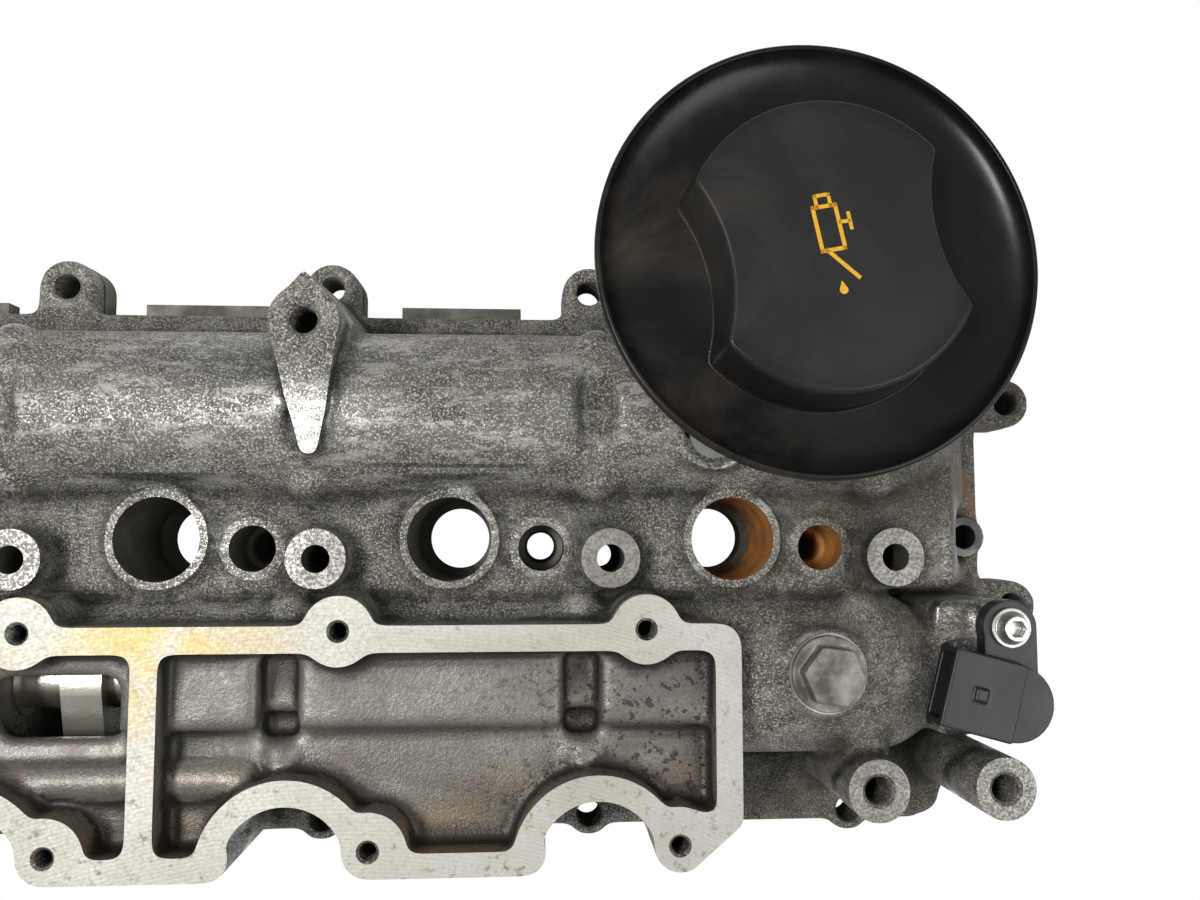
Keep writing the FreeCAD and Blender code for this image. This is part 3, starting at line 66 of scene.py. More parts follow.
# The hollow of the pocket, between two corners, and the arches that bend its front edge.
POCKET_LOW, POCKET_HIGH = (-221.0, -93.5, 50.0), (84.6, -33.0, 75.0)
ARCHES, ARCH_Y, ARCH_RADIUS = RAIL_BOLTS[1:4], -96.8, 22.0

# Threads: radius of the core, outer radius, pitch, and how far the mouth flares.
M6_THREAD = (2.6, 3.05, 1.0, 0.7)
M10_THREAD = (4.25, 5.0, 1.5, 0.9)

# The casting's material slots.
CAST, MILLED, BORE, POCKET, SPOT = range(5)


# Meshes.

def link(name, mesh):
    obj = bpy.data.objects.new(name, mesh)
    scene.collection.objects.link(obj)
    return obj


def from_faces(name, points, faces):
    mesh = bpy.data.meshes.new(name)
    mesh.from_pydata([tuple(p) for p in points], [], faces)
    mesh.validate()
    return link(name, mesh)


def copy_node(node, name):
    """A welded copy of a CAD node's mesh."""
    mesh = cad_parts[node].data.copy()
    mesh.materials.clear()
    work = bmesh.new()
    work.from_mesh(mesh)
    bmesh.ops.remove_doubles(work, verts=work.verts, dist=2e-6)
    work.to_mesh(mesh)
    work.free()
    return link(name, mesh)


def bake(obj):
    """Turns the modifiers into mesh."""
    bpy.context.view_layer.update()
    graph = bpy.context.evaluated_depsgraph_get()
    mesh = bpy.data.meshes.new_from_object(obj.evaluated_get(graph))
    old = obj.data
    obj.modifiers.clear()
    obj.data = mesh
    bpy.data.meshes.remove(old)


def remesh(obj, voxel):
    mod = obj.modifiers.new("shell", "REMESH")
    mod.mode = "VOXEL"
    mod.voxel_size = voxel * MM
    bake(obj)


def thin_out(obj, most):
    """Fewer triangles, where the mesh has more than it needs."""
    obj.data.calc_loop_triangles()
    count = len(obj.data.loop_triangles)
    if count <= most:
        return
    mod = obj.modifiers.new("fewer", "DECIMATE")
    mod.ratio = most / count
    mod.use_collapse_triangulate = True
    bake(obj)


def positions(mesh):
    co = np.empty(len(mesh.vertices) * 3)
    mesh.vertices.foreach_get("co", co)
    return co.reshape(-1, 3)


def write_positions(mesh, co):
    mesh.vertices.foreach_set("co", co.ravel())
    mesh.update()


def relax(mesh, rounds, weight=None, co=None):
    """Evens the surface out: each round moves a point half way to its neighbours' middle."""
    co = positions(mesh) if co is None else co.copy()
    pairs = np.empty(len(mesh.edges) * 2, dtype=np.int64)
    mesh.edges.foreach_get("vertices", pairs)
    a, b = pairs[::2], pairs[1::2]
    count = len(co)
    degree = np.maximum(np.bincount(pairs, minlength=count), 1)[:, None]
    for _ in range(rounds):
        total = np.empty_like(co)
        for k in range(3):
            total[:, k] = np.bincount(a, weights=co[b, k], minlength=count)
            total[:, k] += np.bincount(b, weights=co[a, k], minlength=count)
        step = 0.5 * (total / degree - co)
        co += step if weight is None else step * weight[:, None]
    return co


def lathe(name, x, y, profile, steps):
    """An upright turned solid. Its profile of (radius, height) runs from axis to axis."""
    stand = Matrix.Translation(Vector((x, y, 0.0)) * MM)
    points = []
    faces = []
    for radius, height in profile:
        for i in range(steps):
            turn = 2 * math.pi * i / steps
            spot = Vector((radius * math.cos(turn), radius * math.sin(turn), height))
            points.append(stand @ (spot * MM))
    for k in range(len(profile) - 1):
        for i in range(steps):
            j = (i + 1) % steps
            low, high = k * steps, (k + 1) * steps
            faces.append((low + i, low + j, high + j, high + i))
    obj = from_faces(name, points, faces)
    work = bmesh.new()
    work.from_mesh(obj.data)
    bmesh.ops.remove_doubles(work, verts=work.verts, dist=1e-7)
    bmesh.ops.recalc_face_normals(work, faces=work.faces)
    work.to_mesh(obj.data)
    work.free()
    return obj


def drum(name, x, y, radius, low, high):
    """An upright cylinder, used as a cutter."""
    return lathe(name, x, y, [(0, low), (radius, low), (radius, high), (0, high)], 64)


def thread_tool(name, x, y, low, high, thread):
    """A cutter that leaves a screw thread's ridges, with a flared mouth."""
    core, outer, pitch, mouth = thread
    profile = [(0, low)]
    level = low
    while level + pitch < high - mouth:
        profile += [(core, level), (outer, level + pitch / 2)]
        level += pitch
    flare = core + mouth + 0.4
    profile += [(core, high - mouth), (flare, high + 0.2), (flare, high + 4), (0, high + 4)]
    return lathe(name, x, y, profile, 48)


def block(name, low, high):
    """A box between two corners, used as a cutter."""
    xs, ys, zs = zip(low, high)
    points = [Vector((x, y, z)) * MM for x in xs for y in ys for z in zs]
    faces = [(0, 1, 3, 2), (4, 6, 7, 5), (0, 4, 5, 1), (2, 3, 7, 6), (0, 2, 6, 4), (1, 5, 7, 3)]
    return from_faces(name, points, faces)


def join(name, objects):
    """One mesh of several that don't need to meet."""
    work = bmesh.new()
    for obj in objects:
        mesh = obj.data
        mesh.transform(obj.matrix_world)
        work.from_mesh(mesh)
        bpy.data.objects.remove(obj)
        bpy.data.meshes.remove(mesh)
    mesh = bpy.data.meshes.new(name)
    work.to_mesh(mesh)
    work.free()
    return link(name, mesh)


def carve(obj, cutters):
    """Takes the cutters out of a mesh, all at once."""
    tool = join("cutter", cutters)
    mod = obj.modifiers.new("carve", "BOOLEAN")
    mod.operation = "DIFFERENCE"
    mod.solver = "MANIFOLD"
    mod.object = tool
    bake(obj)
    mesh = tool.data
    bpy.data.objects.remove(tool)
    bpy.data.meshes.remove(mesh)


# Materials.

class Nodes:
    """A short way to write a node material."""

    def __init__(self, name):
        self.material = bpy.data.materials.new(name)
        self.material.use_nodes = True
        self.tree = self.material.node_tree
        self.tree.nodes.clear()
        self.out = self.add("ShaderNodeOutputMaterial")
        self.shader = self.add("ShaderNodeBsdfPrincipled")
        self.join(self.shader, 0, self.out, 0)
        place = self.add("ShaderNodeTexCoord")
        self.place = (place, "Object")

    def add(self, kind, **values):
        node = self.tree.nodes.new(kind)
        for key, value in values.items():
            setattr(node, key, value)
        return node

    def join(self, source, output, target, socket):
        self.tree.links.new(source.outputs[output], target.inputs[socket])

    def feed(self, value, target, socket):
        """Links another node's output, or sets a number or a colour of three numbers."""
        if not isinstance(value, tuple):
            target.inputs[socket].default_value = value
        elif isinstance(value[0], bpy.types.Node):
            self.join(value[0], value[1], target, socket)
        else:
            target.inputs[socket].default_value = value + (1.0,)

    def noise(self, scale, detail=4.0, rough=0.6, at=None, warp=0.0):
        node = self.add("ShaderNodeTexNoise")
        self.feed(at or self.place, node, "Vector")
        node.inputs["Scale"].default_value = scale
        node.inputs["Detail"].default_value = detail
        node.inputs["Roughness"].default_value = rough
        node.inputs["Distortion"].default_value = warp
        return (node, "Fac")

    def ramp(self, value, low, high, bottom=0.0, top=1.0):
        """Takes the range from low to high to that from bottom to top, and stops there."""
        node = self.add("ShaderNodeMapRange", clamp=True)
        self.feed(value, node, "Value")
        for key, number in (("From Min", low), ("From Max", high),
                            ("To Min", bottom), ("To Max", top)):
            node.inputs[key].default_value = number
        return (node, "Result")

    def math(self, kind, a, b=0.0):
        node = self.add("ShaderNodeMath", operation=kind)
        self.feed(a, node, 0)
        self.feed(b, node, 1)
        return (node, "Value")

    def times(self, a, b):
        return self.math("MULTIPLY", a, b)

    def mix(self, share, a, b):
        """Goes from colour a to colour b as the share grows from nothing to one."""
        node = self.add("ShaderNodeMix", data_type="RGBA")
        self.feed(share, node, 0)
        self.feed(a, node, 6)
        self.feed(b, node, 7)
        return (node, 2)

    def attribute(self, name):
        node = self.add("ShaderNodeAttribute", attribute_name=name)
        return (node, "Fac")

    def axis(self, letter):
        node = self.add("ShaderNodeSeparateXYZ")
        self.feed(self.place, node, "Vector")
        return (node, letter)

    def bump(self, height, strength, distance, normal=None):
        node = self.add("ShaderNodeBump")
        self.feed(height, node, "Height")
        node.inputs["Strength"].default_value = strength
        node.inputs["Distance"].default_value = distance
        if normal:
            self.feed(normal, node, "Normal")
        return (node, "Normal")

    def finish(self, colour, rough, metal, normal=None, specular=0.5):
        self.feed(colour, self.shader, "Base Color")
        self.feed(rough, self.shader, "Roughness")
        self.feed(metal, self.shader, "Metallic")
        self.shader.inputs["Specular IOR Level"].default_value = specular
        if normal:
            self.feed(normal, self.shader, "Normal")
        return self.material


def ball_mask(mat, x, y, z, inner, outer):
    """One inside a round region, fading to nothing at its outer radius, in millimetres."""
    node = mat.add("ShaderNodeVectorMath", operation="DISTANCE")
    mat.feed(mat.place, node, 0)
    node.inputs[1].default_value = (x * MM, y * MM, z * MM)
    return mat.ramp((node, "Value"), inner * MM, outer * MM, 1.0, 0.0)


def cast_metal():
    """Grey-brown cast aluminium, painted black in its hollows as shade and grime, and worn glossy
    on its crests.
    """
    mat = Nodes("casting_skin")
    broad = mat.ramp(mat.noise(24, 3, 0.6), 0.38, 0.62)
    medium = mat.ramp(mat.noise(110, 4, 0.7), 0.40, 0.60)
    grain = mat.ramp(mat.noise(1150, 3, 0.8), 0.44, 0.56)
    fine = mat.ramp(mat.noise(2600, 2, 0.6), 0.35, 0.65)
    long = mat.add("ShaderNodeMapping")
    mat.feed(mat.place, long, "Vector")
    long.inputs["Scale"].default_value = (0.35, 1.0, 1.0)
    scab = mat.noise(170, 6, 0.85, (long, "Vector"))
    deep = mat.attribute("deep")
    crest = mat.times(mat.ramp(deep, -0.05, -0.60), mat.ramp(deep, -1.45, -0.95))
    colour = mat.mix(broad, (0.115, 0.107, 0.087), (0.190, 0.181, 0.150))
    colour = mat.mix(mat.times(medium, 0.60), colour, (0.290, 0.280, 0.240))
    colour = mat.mix(mat.times(crest, 0.75), colour, (0.185, 0.183, 0.174))
    dark = mat.times(grain, mat.ramp(medium, 0, 1, 0.90, 0.50))
    dark = mat.times(dark, mat.ramp(crest, 0, 1, 1.0, 0.42))
    colour = mat.mix(dark, colour, (0.036, 0.032, 0.024))
    patch = mat.times(mat.ramp(scab, 0.52, 0.56), mat.ramp(crest, 0.0, 0.6, 0.25, 0.75))
    colour = mat.mix(patch, colour, (0.44, 0.432, 0.395))
    glint = mat.ramp(mat.noise(1500, 1, 0.5), 0.56, 0.62)
    colour = mat.mix(mat.times(glint, 0.70), colour, (0.58, 0.56, 0.50))
    # Painted shade, with some grime: darker where the surface lies below its surroundings and in
    # hollows.
    painted_sunk_shade = mat.math("ADD", mat.ramp(deep, 0.05, 1.0, 0.0, 0.42),
                    mat.times(mat.ramp(mat.attribute("hollow"), 0.15, 1.1), 0.75))
    painted_shade_and_grime = mat.times(painted_sunk_shade, mat.ramp(medium, 0, 1, 1.05, 0.75))
    colour = mat.mix(mat.math("MINIMUM", painted_shade_and_grime, 0.88), colour, (0.020, 0.018, 0.014))
    right = mat.times(mat.ramp(mat.axis("X"), 0.085, 0.125),
                     mat.ramp(mat.noise(30, 4, 0.7), 0.36, 0.62, 0.15, 0.62))
    colour = mat.mix(right, colour, (0.060, 0.051, 0.036))
    rust = mat.times(ball_mask(mat, 181, 6, 20, 8, 26),
                    mat.ramp(mat.noise(130, 4, 0.7), 0.46, 0.62))
    colour = mat.mix(mat.times(rust, 0.75), colour, (0.26, 0.11, 0.025))
    rough = mat.math("ADD", mat.ramp(crest, 0, 1, 0.54, 0.25), mat.times(grain, 0.16))
    calm = mat.ramp(crest, 0, 1, 1.0, 0.10)
    bump = mat.bump(mat.times(fine, calm), 0.35, 0.00012)
    bump = mat.bump(mat.times(grain, calm), 0.60, 0.00026, bump)
    bump = mat.bump(mat.times(medium, calm), 0.35, 0.0006, bump)
    return mat.finish(colour, rough, mat.ramp(crest, 0, 1, 0.35, 0.92), bump, 0.40)


def spot_metal():
    """Faces turned on the bosses: duller than the milled gasket face."""
    mat = Nodes("spot_face")
    medium = mat.ramp(mat.noise(140, 4, 0.65), 0.35, 0.65)
    grain = mat.ramp(mat.noise(1100, 2, 0.65), 0.42, 0.60)
    colour = mat.mix(medium, (0.215, 0.208, 0.185), (0.345, 0.335, 0.305))
    colour = mat.mix(mat.times(grain, 0.65), colour, (0.085, 0.078, 0.062))
    bump = mat.bump(grain, 0.3, 0.00012)
    return mat.finish(colour, mat.ramp(grain, 0, 1, 0.38, 0.55), 0.6, bump)


def machined_metal():
    """Milled aluminium with curved tool marks and a yellow stain along one edge."""
    mat = Nodes("machined_face")
    arcs = mat.add("ShaderNodeTexWave", wave_type="RINGS", rings_direction="Z")
    shift = mat.add("ShaderNodeMapping")
    mat.feed(mat.place, shift, "Vector")
    shift.inputs["Location"].default_value = (0.03, 0.36, 0.0)
    mat.feed((shift, "Vector"), arcs, "Vector")
    arcs.inputs["Scale"].default_value = 260
    arcs.inputs["Distortion"].default_value = 0.6
    lines = (arcs, "Fac")
    broad = mat.ramp(mat.noise(22, 4, 0.6), 0.35, 0.65)
    fine = mat.ramp(mat.noise(900, 3, 0.6), 0.3, 0.7)
    colour = mat.mix(broad, (0.42, 0.405, 0.355), (0.54, 0.53, 0.48))
    colour = mat.mix(mat.times(lines, 0.14), colour, (0.86, 0.85, 0.80))
    colour = mat.mix(mat.times(fine, 0.34), colour, (0.22, 0.205, 0.165))
    front = mat.ramp(mat.axis("Y"), -0.055, -0.092)
    spots = mat.ramp(mat.noise(240, 5, 0.75), 0.56, 0.66)
    spots = mat.times(spots, mat.ramp(front, 0, 1, 0.45, 0.90))
    colour = mat.mix(spots, colour, (0.13, 0.115, 0.085))
    smear = mat.ramp(mat.noise(34, 4, 0.7, warp=0.6), 0.40, 0.66)
    colour = mat.mix(mat.ramp(smear, 0, 1, 0.10, 0.42), colour, (0.36, 0.345, 0.30))
    stain = ball_mask(mat, -84, -27, 75, 8, 48)
    patch = mat.times(stain, mat.ramp(mat.noise(55, 3, 0.6), 0.40, 0.62))
    colour = mat.mix(mat.times(patch, 0.8), colour, (0.52, 0.36, 0.10))
    bump = mat.bump(lines, 0.15, 0.00006, mat.bump(fine, 0.2, 0.0001))
    return mat.finish(colour, mat.ramp(fine, 0, 1, 0.42, 0.58), 0.35, bump, 0.35)


def bore_metal():
    """The walls of drilled holes: dark, with rust in the right-hand wells."""
    mat = Nodes("drilled_wall")
    wave = mat.add("ShaderNodeTexWave", wave_type="BANDS", bands_direction="Z")
    mat.feed(mat.place, wave, "Vector")
    wave.inputs["Scale"].default_value = 300
    wave.inputs["Distortion"].default_value = 2.0
    rings = (wave, "Fac")
    patchy = mat.ramp(mat.noise(90, 4, 0.65), 0.35, 0.65)
    colour = mat.mix(patchy, (0.045, 0.040, 0.033), (0.13, 0.12, 0.10))
    colour = mat.mix(mat.times(rings, 0.4), colour, (0.20, 0.185, 0.155))
    well = ball_mask(mat, 93, 0, 32, 22, 31)
    small = ball_mask(mat, 122.8, -3, 36, 12, 22)
    rust = mat.math("MAXIMUM", well, small)
    orange = mat.mix(patchy, (0.20, 0.062, 0.012), (0.52, 0.22, 0.045))
    orange = mat.mix(mat.times(rings, 0.35), orange, (0.62, 0.33, 0.10))
    colour = mat.mix(mat.times(rust, 0.95), colour, orange)
    bump = mat.bump(rings, 0.35, 0.00015)
    return mat.finish(colour, 0.5, mat.times(mat.math("SUBTRACT", 1.0, rust), 0.4),
                      bump)


def pocket_metal():
    """The pocket floor inside the gasket frame, stained purple and brown, with pits, and with
    shade painted near black along its hollow edges and deep parts.
    """
    mat = Nodes("pocket_floor")
    broad = mat.ramp(mat.noise(20, 3, 0.6, warp=0.8), 0.36, 0.64)
    medium = mat.ramp(mat.noise(75, 5, 0.7, warp=0.8), 0.36, 0.64)
    grain = mat.ramp(mat.noise(1000, 2, 0.7), 0.38, 0.62)
    colour = mat.mix(broad, (0.165, 0.155, 0.140), (0.280, 0.272, 0.232))
    colour = mat.mix(mat.times(medium, 0.55), colour, (0.135, 0.112, 0.100))
    low = mat.ramp(mat.axis("Y"), -0.064, -0.088)
    gold = mat.times(low, mat.ramp(mat.noise(38, 3, 0.6, warp=0.5), 0.40, 0.62))
    colour = mat.mix(mat.times(gold, 0.75), colour, (0.30, 0.20, 0.095))
    colour = mat.mix(mat.times(grain, 0.42), colour, (0.075, 0.066, 0.056))
    pits = mat.ramp(mat.noise(420, 3, 0.6), 0.58, 0.64)
    right = mat.ramp(mat.axis("X"), -0.01, 0.06, 0.05, 1.0)
    pits = mat.times(pits, right)
    colour = mat.mix(mat.times(pits, 0.80), colour, (0.030, 0.027, 0.024))
    # Painted shade: near black along the pocket's hollow edges and where its floor lies deep.
    edge = mat.ramp(mat.attribute("hollow"), 0.10, 0.95)
    colour = mat.mix(mat.times(edge, 0.88), colour, (0.022, 0.019, 0.015))
    painted_sunk_shade = mat.ramp(mat.attribute("deep"), 0.50, 1.60)
    colour = mat.mix(mat.times(painted_sunk_shade, 0.85), colour, (0.022, 0.019, 0.015))
    bump = mat.bump(grain, 0.35, 0.00015, mat.bump(pits, 0.6, 0.0005))
    return mat.finish(colour, mat.ramp(medium, 0, 1, 0.36, 0.5), 0.45, bump, 0.4)


def steel(name, base, dark, rough, scale, metal=0.9):
    """Plain metal, patchy between a bright and a dark colour."""
    mat = Nodes(name)
    patch = mat.ramp(mat.noise(scale / 6, 4, 0.6), 0.35, 0.65)
    grain = mat.ramp(mat.noise(scale * 4, 2, 0.6), 0.3, 0.7)
    colour = mat.mix(patch, dark, base)
    colour = mat.mix(mat.times(grain, 0.25), colour, dark)
    bump = mat.bump(grain, 0.25, 0.0001)
    return mat.finish(colour, mat.ramp(patch, 0, 1, rough + 0.15, rough), metal, bump)


def plastic(name, base, dusty, rough):
    """Moulded plastic or rubber under a little dust."""
    mat = Nodes(name)
    cloud = mat.ramp(mat.noise(35, 5, 0.65, warp=0.4), 0.42, 0.72)
    fine = mat.ramp(mat.noise(2600, 2, 0.5), 0.3, 0.7)
    colour = mat.mix(mat.times(cloud, 0.3), base, dusty)
    bump = mat.bump(fine, 0.12, 0.00008)
    return mat.finish(colour, mat.ramp(cloud, 0, 1, rough, rough + 0.14), 0.0, bump, 0.45)


def cap_plastic():
    """Black moulded plastic, painted darker in the bowl as shade, with dust and a painted
    brownish reflection towards its left side.
    """
    mat = Nodes("cap_plastic")
    knob = ball_mask(mat, 105.5, 77.6, 130.0, 34.0, 44.0)
    cloud = mat.ramp(mat.noise(30, 5, 0.65, warp=0.5), 0.46, 0.74)
    fine = mat.ramp(mat.noise(2600, 2, 0.5), 0.3, 0.7)
    # Painted shade: the bowl takes a darker black than the knob.
    colour = mat.mix(knob, (0.0055, 0.0058, 0.0062), (0.0150, 0.0152, 0.0155))
    # Dust, together with a painted brownish reflection, towards the cap's left side.
    left = mat.times(cloud, mat.ramp(mat.axis("X"), 0.125, 0.065, 0.10, 0.50))
    colour = mat.mix(left, colour, (0.060, 0.046, 0.030))
    rough = mat.math("ADD", mat.ramp(knob, 0, 1, 0.26, 0.40), mat.times(cloud, 0.12))
    return mat.finish(colour, rough, 0.0, mat.bump(fine, 0.12, 0.00008), 0.22)


def print_ink():
    """The yellow of the print on the knob."""
    mat = Nodes("print_ink")
    fine = mat.ramp(mat.noise(1500, 3, 0.6), 0.3, 0.7)
    colour = mat.mix(fine, (0.52, 0.27, 0.008), (0.66, 0.37, 0.018))
    return mat.finish(colour, 0.5, 0.0, mat.bump(fine, 0.1, 0.00005))


# The casting.

def raised_levels():
    """Flat tops of the round bosses: (x, y, radius of the boss, height)."""
    spots = [(x, WELL_Y, 16.1, WELL_TOP) for x in WELLS]
    spots += [(x + GLOW_X, GLOW_Y, 9.6, GLOW_TOP) for x in WELLS]
    spots += [(x, HEAD_Y, 9.7, HEAD_TOP) for x in HEAD_BOLTS]
    spots += [(x, y, 9.8, PILLAR_TOP) for x, y in PILLARS]
    return spots


def raise_faces(obj, extra):
    """Lifts the flat tops, so that they can be cut back flat with crisp edges."""
    levels = (WELL_TOP, GLOW_TOP, HEAD_TOP, GASKET_TOP, PILLAR_TOP, EAR_TOP)
    work = bmesh.new()
    work.from_mesh(obj.data)
    picked = []
    for face in work.faces:
        height = face.calc_center_median().z / MM
        if face.normal.z > 0.999 and min(abs(height - level) for level in levels) < 0.05:
            picked.append(face)
    made = bmesh.ops.extrude_face_region(work, geom=picked)
    moved = [g for g in made["geom"] if isinstance(g, bmesh.types.BMVert)]
    bmesh.ops.translate(work, verts=moved, vec=(0, 0, extra * MM))
    bmesh.ops.delete(work, geom=picked, context="FACES")
    work.to_mesh(obj.data)
    work.free()


def face_cutters():
    """Slabs that cut the lifted faces back to their true heights."""
    tools = [block("slab", (-236, -108, GASKET_TOP), (97, -14, GASKET_TOP + 12)),
             block("ear_slab", (-64, 20, EAR_TOP), (-24, 92, EAR_TOP + 12))]
    for i, (x, y, radius, top) in enumerate(raised_levels()):
        spare = 2.0 if top > TURNED_ABOVE else 0.8
        tools.append(drum(f"slab_{i}", x, y, radius + spare, top, top + 12))
    return tools


def hole_cutters():
    """Holes and threads of the solid, cut again since the remesh blurs their edges."""
    tools = []
    for i, x in enumerate(WELLS):
        tools.append(drum(f"well_{i}", x, WELL_Y, WELL_RADIUS, 8, 62))
        tools.append(drum(f"glow_{i}", x + GLOW_X, GLOW_Y, GLOW_RADIUS, 30, 62))
        tools.append(drum(f"glow_foot_{i}", x + GLOW_X, GLOW_Y, 5.0, 8, 30.5))
    for i, x in enumerate(HEAD_BOLTS):
        tools.append(drum(f"bolt_{i}", x, HEAD_Y, HEAD_RADIUS, 8, 75))
    for i, x in enumerate(RAIL_BOLTS):
        tools.append(drum(f"rail_back_{i}", x, RAIL_BACK_Y, RAIL_RADIUS, 8, 60))
        tools.append(drum(f"rail_front_{i}", x, RAIL_FRONT_Y, RAIL_RADIUS, 8, 90))
    for i, (x, y) in enumerate(RAIL_ENDS):
        tools.append(drum(f"rail_end_{i}", x, y, RAIL_RADIUS, 8, 60))
    for row, places, y in (("back", BACK_THREADS, BACK_THREAD_Y),
                           ("front", FRONT_THREADS, FRONT_THREAD_Y)):
        for i, x in enumerate(places):
            tools.append(thread_tool(f"{row}_{i}", x, y, 60.3, GASKET_TOP, M6_THREAD))
    for i, (x, y) in enumerate(PILLARS):
        tools.append(thread_tool(f"pillar_{i}", x, y, 47.3, PILLAR_TOP, M10_THREAD))
    tools.append(thread_tool("ear", EAR[0], EAR[1], 49.5, EAR_TOP, M10_THREAD))
    return tools


def depth_below(points):
    """How far each point lies below the surface around it, in centimetres."""
    cell, columns, rows = 2.0, 250, 130
    flat = points / MM
    column = np.clip(((flat[:, 0] + 270) / cell).astype(int), 0, columns - 1)
    row = np.clip(((flat[:, 1] + 120) / cell).astype(int), 0, rows - 1)
    top = np.zeros((columns, rows))
    np.maximum.at(top, (column, row), flat[:, 2])
    known = (top > 0).astype(float)
    reach = np.arange(-12, 13)
    bell = np.exp(-(reach / 4.0) ** 2 / 2)
    for axis in (0, 1):
        top = np.apply_along_axis(np.convolve, axis, top, bell, "same")
        known = np.apply_along_axis(np.convolve, axis, known, bell, "same")
    around = top / np.maximum(known, 1e-6)
    return (around[column, row] - flat[:, 2]) / 10.0


def add_layer(mesh, name, values):
    """A number for each point, which the materials read by its name."""
    layer = mesh.attributes.new(name, "FLOAT", "POINT")
    layer.data.foreach_set("value", np.asarray(values, dtype=np.float32))


def mark_casting(obj, source_points, source_values):
    """Gives each point its hollowness and depth, and each face its material."""
    mesh = obj.data
    tree = kdtree.KDTree(len(source_points))
    for i, p in enumerate(source_points):
        tree.insert(p, i)
    tree.balance()
    add_layer(mesh, "hollow", [source_values[tree.find(v.co)[1]] for v in mesh.vertices])
    add_layer(mesh, "deep", depth_below(positions(mesh)))
    count = len(mesh.polygons)
    centre = np.empty(count * 3)
    normal = np.empty(count * 3)
    mesh.polygons.foreach_get("center", centre)
    mesh.polygons.foreach_get("normal", normal)
    centre = centre.reshape(-1, 3) / MM
    normal = normal.reshape(-1, 3)
    finish = np.zeros(count, dtype=np.int32)
    pocket = (centre > POCKET_LOW).all(1) & (centre < POCKET_HIGH).all(1)
    for x in ARCHES:
        pocket &= np.hypot(centre[:, 0] - x, centre[:, 1] - ARCH_Y) > ARCH_RADIUS
    finish[pocket] = POCKET
    flat = normal[:, 2] > 0.995
    finish[flat & (abs(centre[:, 2] - GASKET_TOP) < 0.03)] = MILLED
    for x, y, radius, top in raised_levels():
        if top > TURNED_ABOVE:
            near = np.hypot(centre[:, 0] - x, centre[:, 1] - y) < radius + 3
            finish[flat & near & (abs(centre[:, 2] - top) < 0.03)] = SPOT
    side = abs(normal[:, 2]) < 0.3
    holes = [(x, WELL_Y, WELL_RADIUS) for x in WELLS]
    holes += [(x + GLOW_X, GLOW_Y, GLOW_RADIUS) for x in WELLS]
    holes += [(x, HEAD_Y, HEAD_RADIUS) for x in HEAD_BOLTS]
    holes += [(x, RAIL_FRONT_Y, RAIL_RADIUS) for x in RAIL_BOLTS]
    for x, y, radius in holes:
        near = np.hypot(centre[:, 0] - x, centre[:, 1] - y) < radius + 0.15
        finish[near & (side | (centre[:, 2] < 35))] = BORE
    mesh.polygons.foreach_set("material_index", finish)
    mesh.polygons.foreach_set("use_smooth", (finish != MILLED) & (finish != SPOT))


def build_casting():
    """The casting with soft edges and a rough skin, but crisp faces and holes."""
    obj = copy_node("cover_casting", "casting_body")
    raise_faces(obj, 3.0)
    remesh(obj, 1.15)
    mesh = obj.data
    co = positions(mesh)
    above_rail = np.clip((co[:, 2] / MM - 10.6) / 2.0, 0, 1)
    smooth = relax(mesh, 12, above_rail)
    write_positions(mesh, smooth)
    normals = np.empty(len(co) * 3)
    mesh.vertices.foreach_get("normal", normals)
    normals = normals.reshape(-1, 3)
    wide = relax(mesh, 50, co=smooth)
    hollow = ((wide - smooth) * normals).sum(1) / (0.9 * MM)
    pick = np.arange(0, len(smooth), 2)
    carve(obj, face_cutters())
    carve(obj, hole_cutters())
    thin_out(obj, 190000)
    obj.data.materials.clear()
    for material in (cast_metal(), machined_metal(), bore_metal(), pocket_metal(), spot_metal()):
        obj.data.materials.append(material)
    mark_casting(obj, smooth[pick], hollow[pick])
    obj.data.set_sharp_from_angle(angle=math.radians(38))
    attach(obj, "cover")
    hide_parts("cover_casting")


# The filler cap. Its heights run along its own leaning axis, from the plane of its rim.

RIM = Vector((105.5, 77.6, 120.1))
LEAN = math.radians(4.7)
HEADING = math.radians(69.0)
KNOB_TOP, KNOB_RADIUS, KNOB_ROUND, KNOB_SHIFT = 12.0, 40.2, 1.4, 1.0
GRIP_TURN, GRIP_RADIUS, GRIP_OUT = math.radians(10.0), 50.0, 78.6
BOWL_FLAT, BOWL_DEPTH, BOWL_EDGE, LIP_EDGE = 44.0, 6.8, 60.6, 61.5
CAP_BOTTOM = -14.5


def cap_frame():
    """Places the cap: its axis leans from upright towards its heading."""
    axis = Vector((-math.sin(HEADING), math.cos(HEADING), 0))
    return Matrix.Translation(RIM * MM) @ Matrix.Rotation(LEAN, 4, axis)


def soft_min(a, b, k):
    """The smaller of two numbers, with a smooth passage k wide between them."""
    share = max(k - abs(a - b), 0.0) / k
    return min(a, b) - share * share * k * 0.25


def soft_max(a, b, k):
    return -soft_min(-a, -b, k)


def knob_radius(turn):
    """The knob's outline: a circle with two hollows for the fingers."""
    radius = KNOB_RADIUS
    for middle in (GRIP_TURN, GRIP_TURN + math.pi):
        side = GRIP_OUT * math.sin(turn - middle)
        along = GRIP_OUT * math.cos(turn - middle)
        if abs(side) < GRIP_RADIUS and along > 0:
            hollow = along - math.sqrt(GRIP_RADIUS ** 2 - side * side)
            radius = soft_min(radius, hollow, 2.0)
    return radius


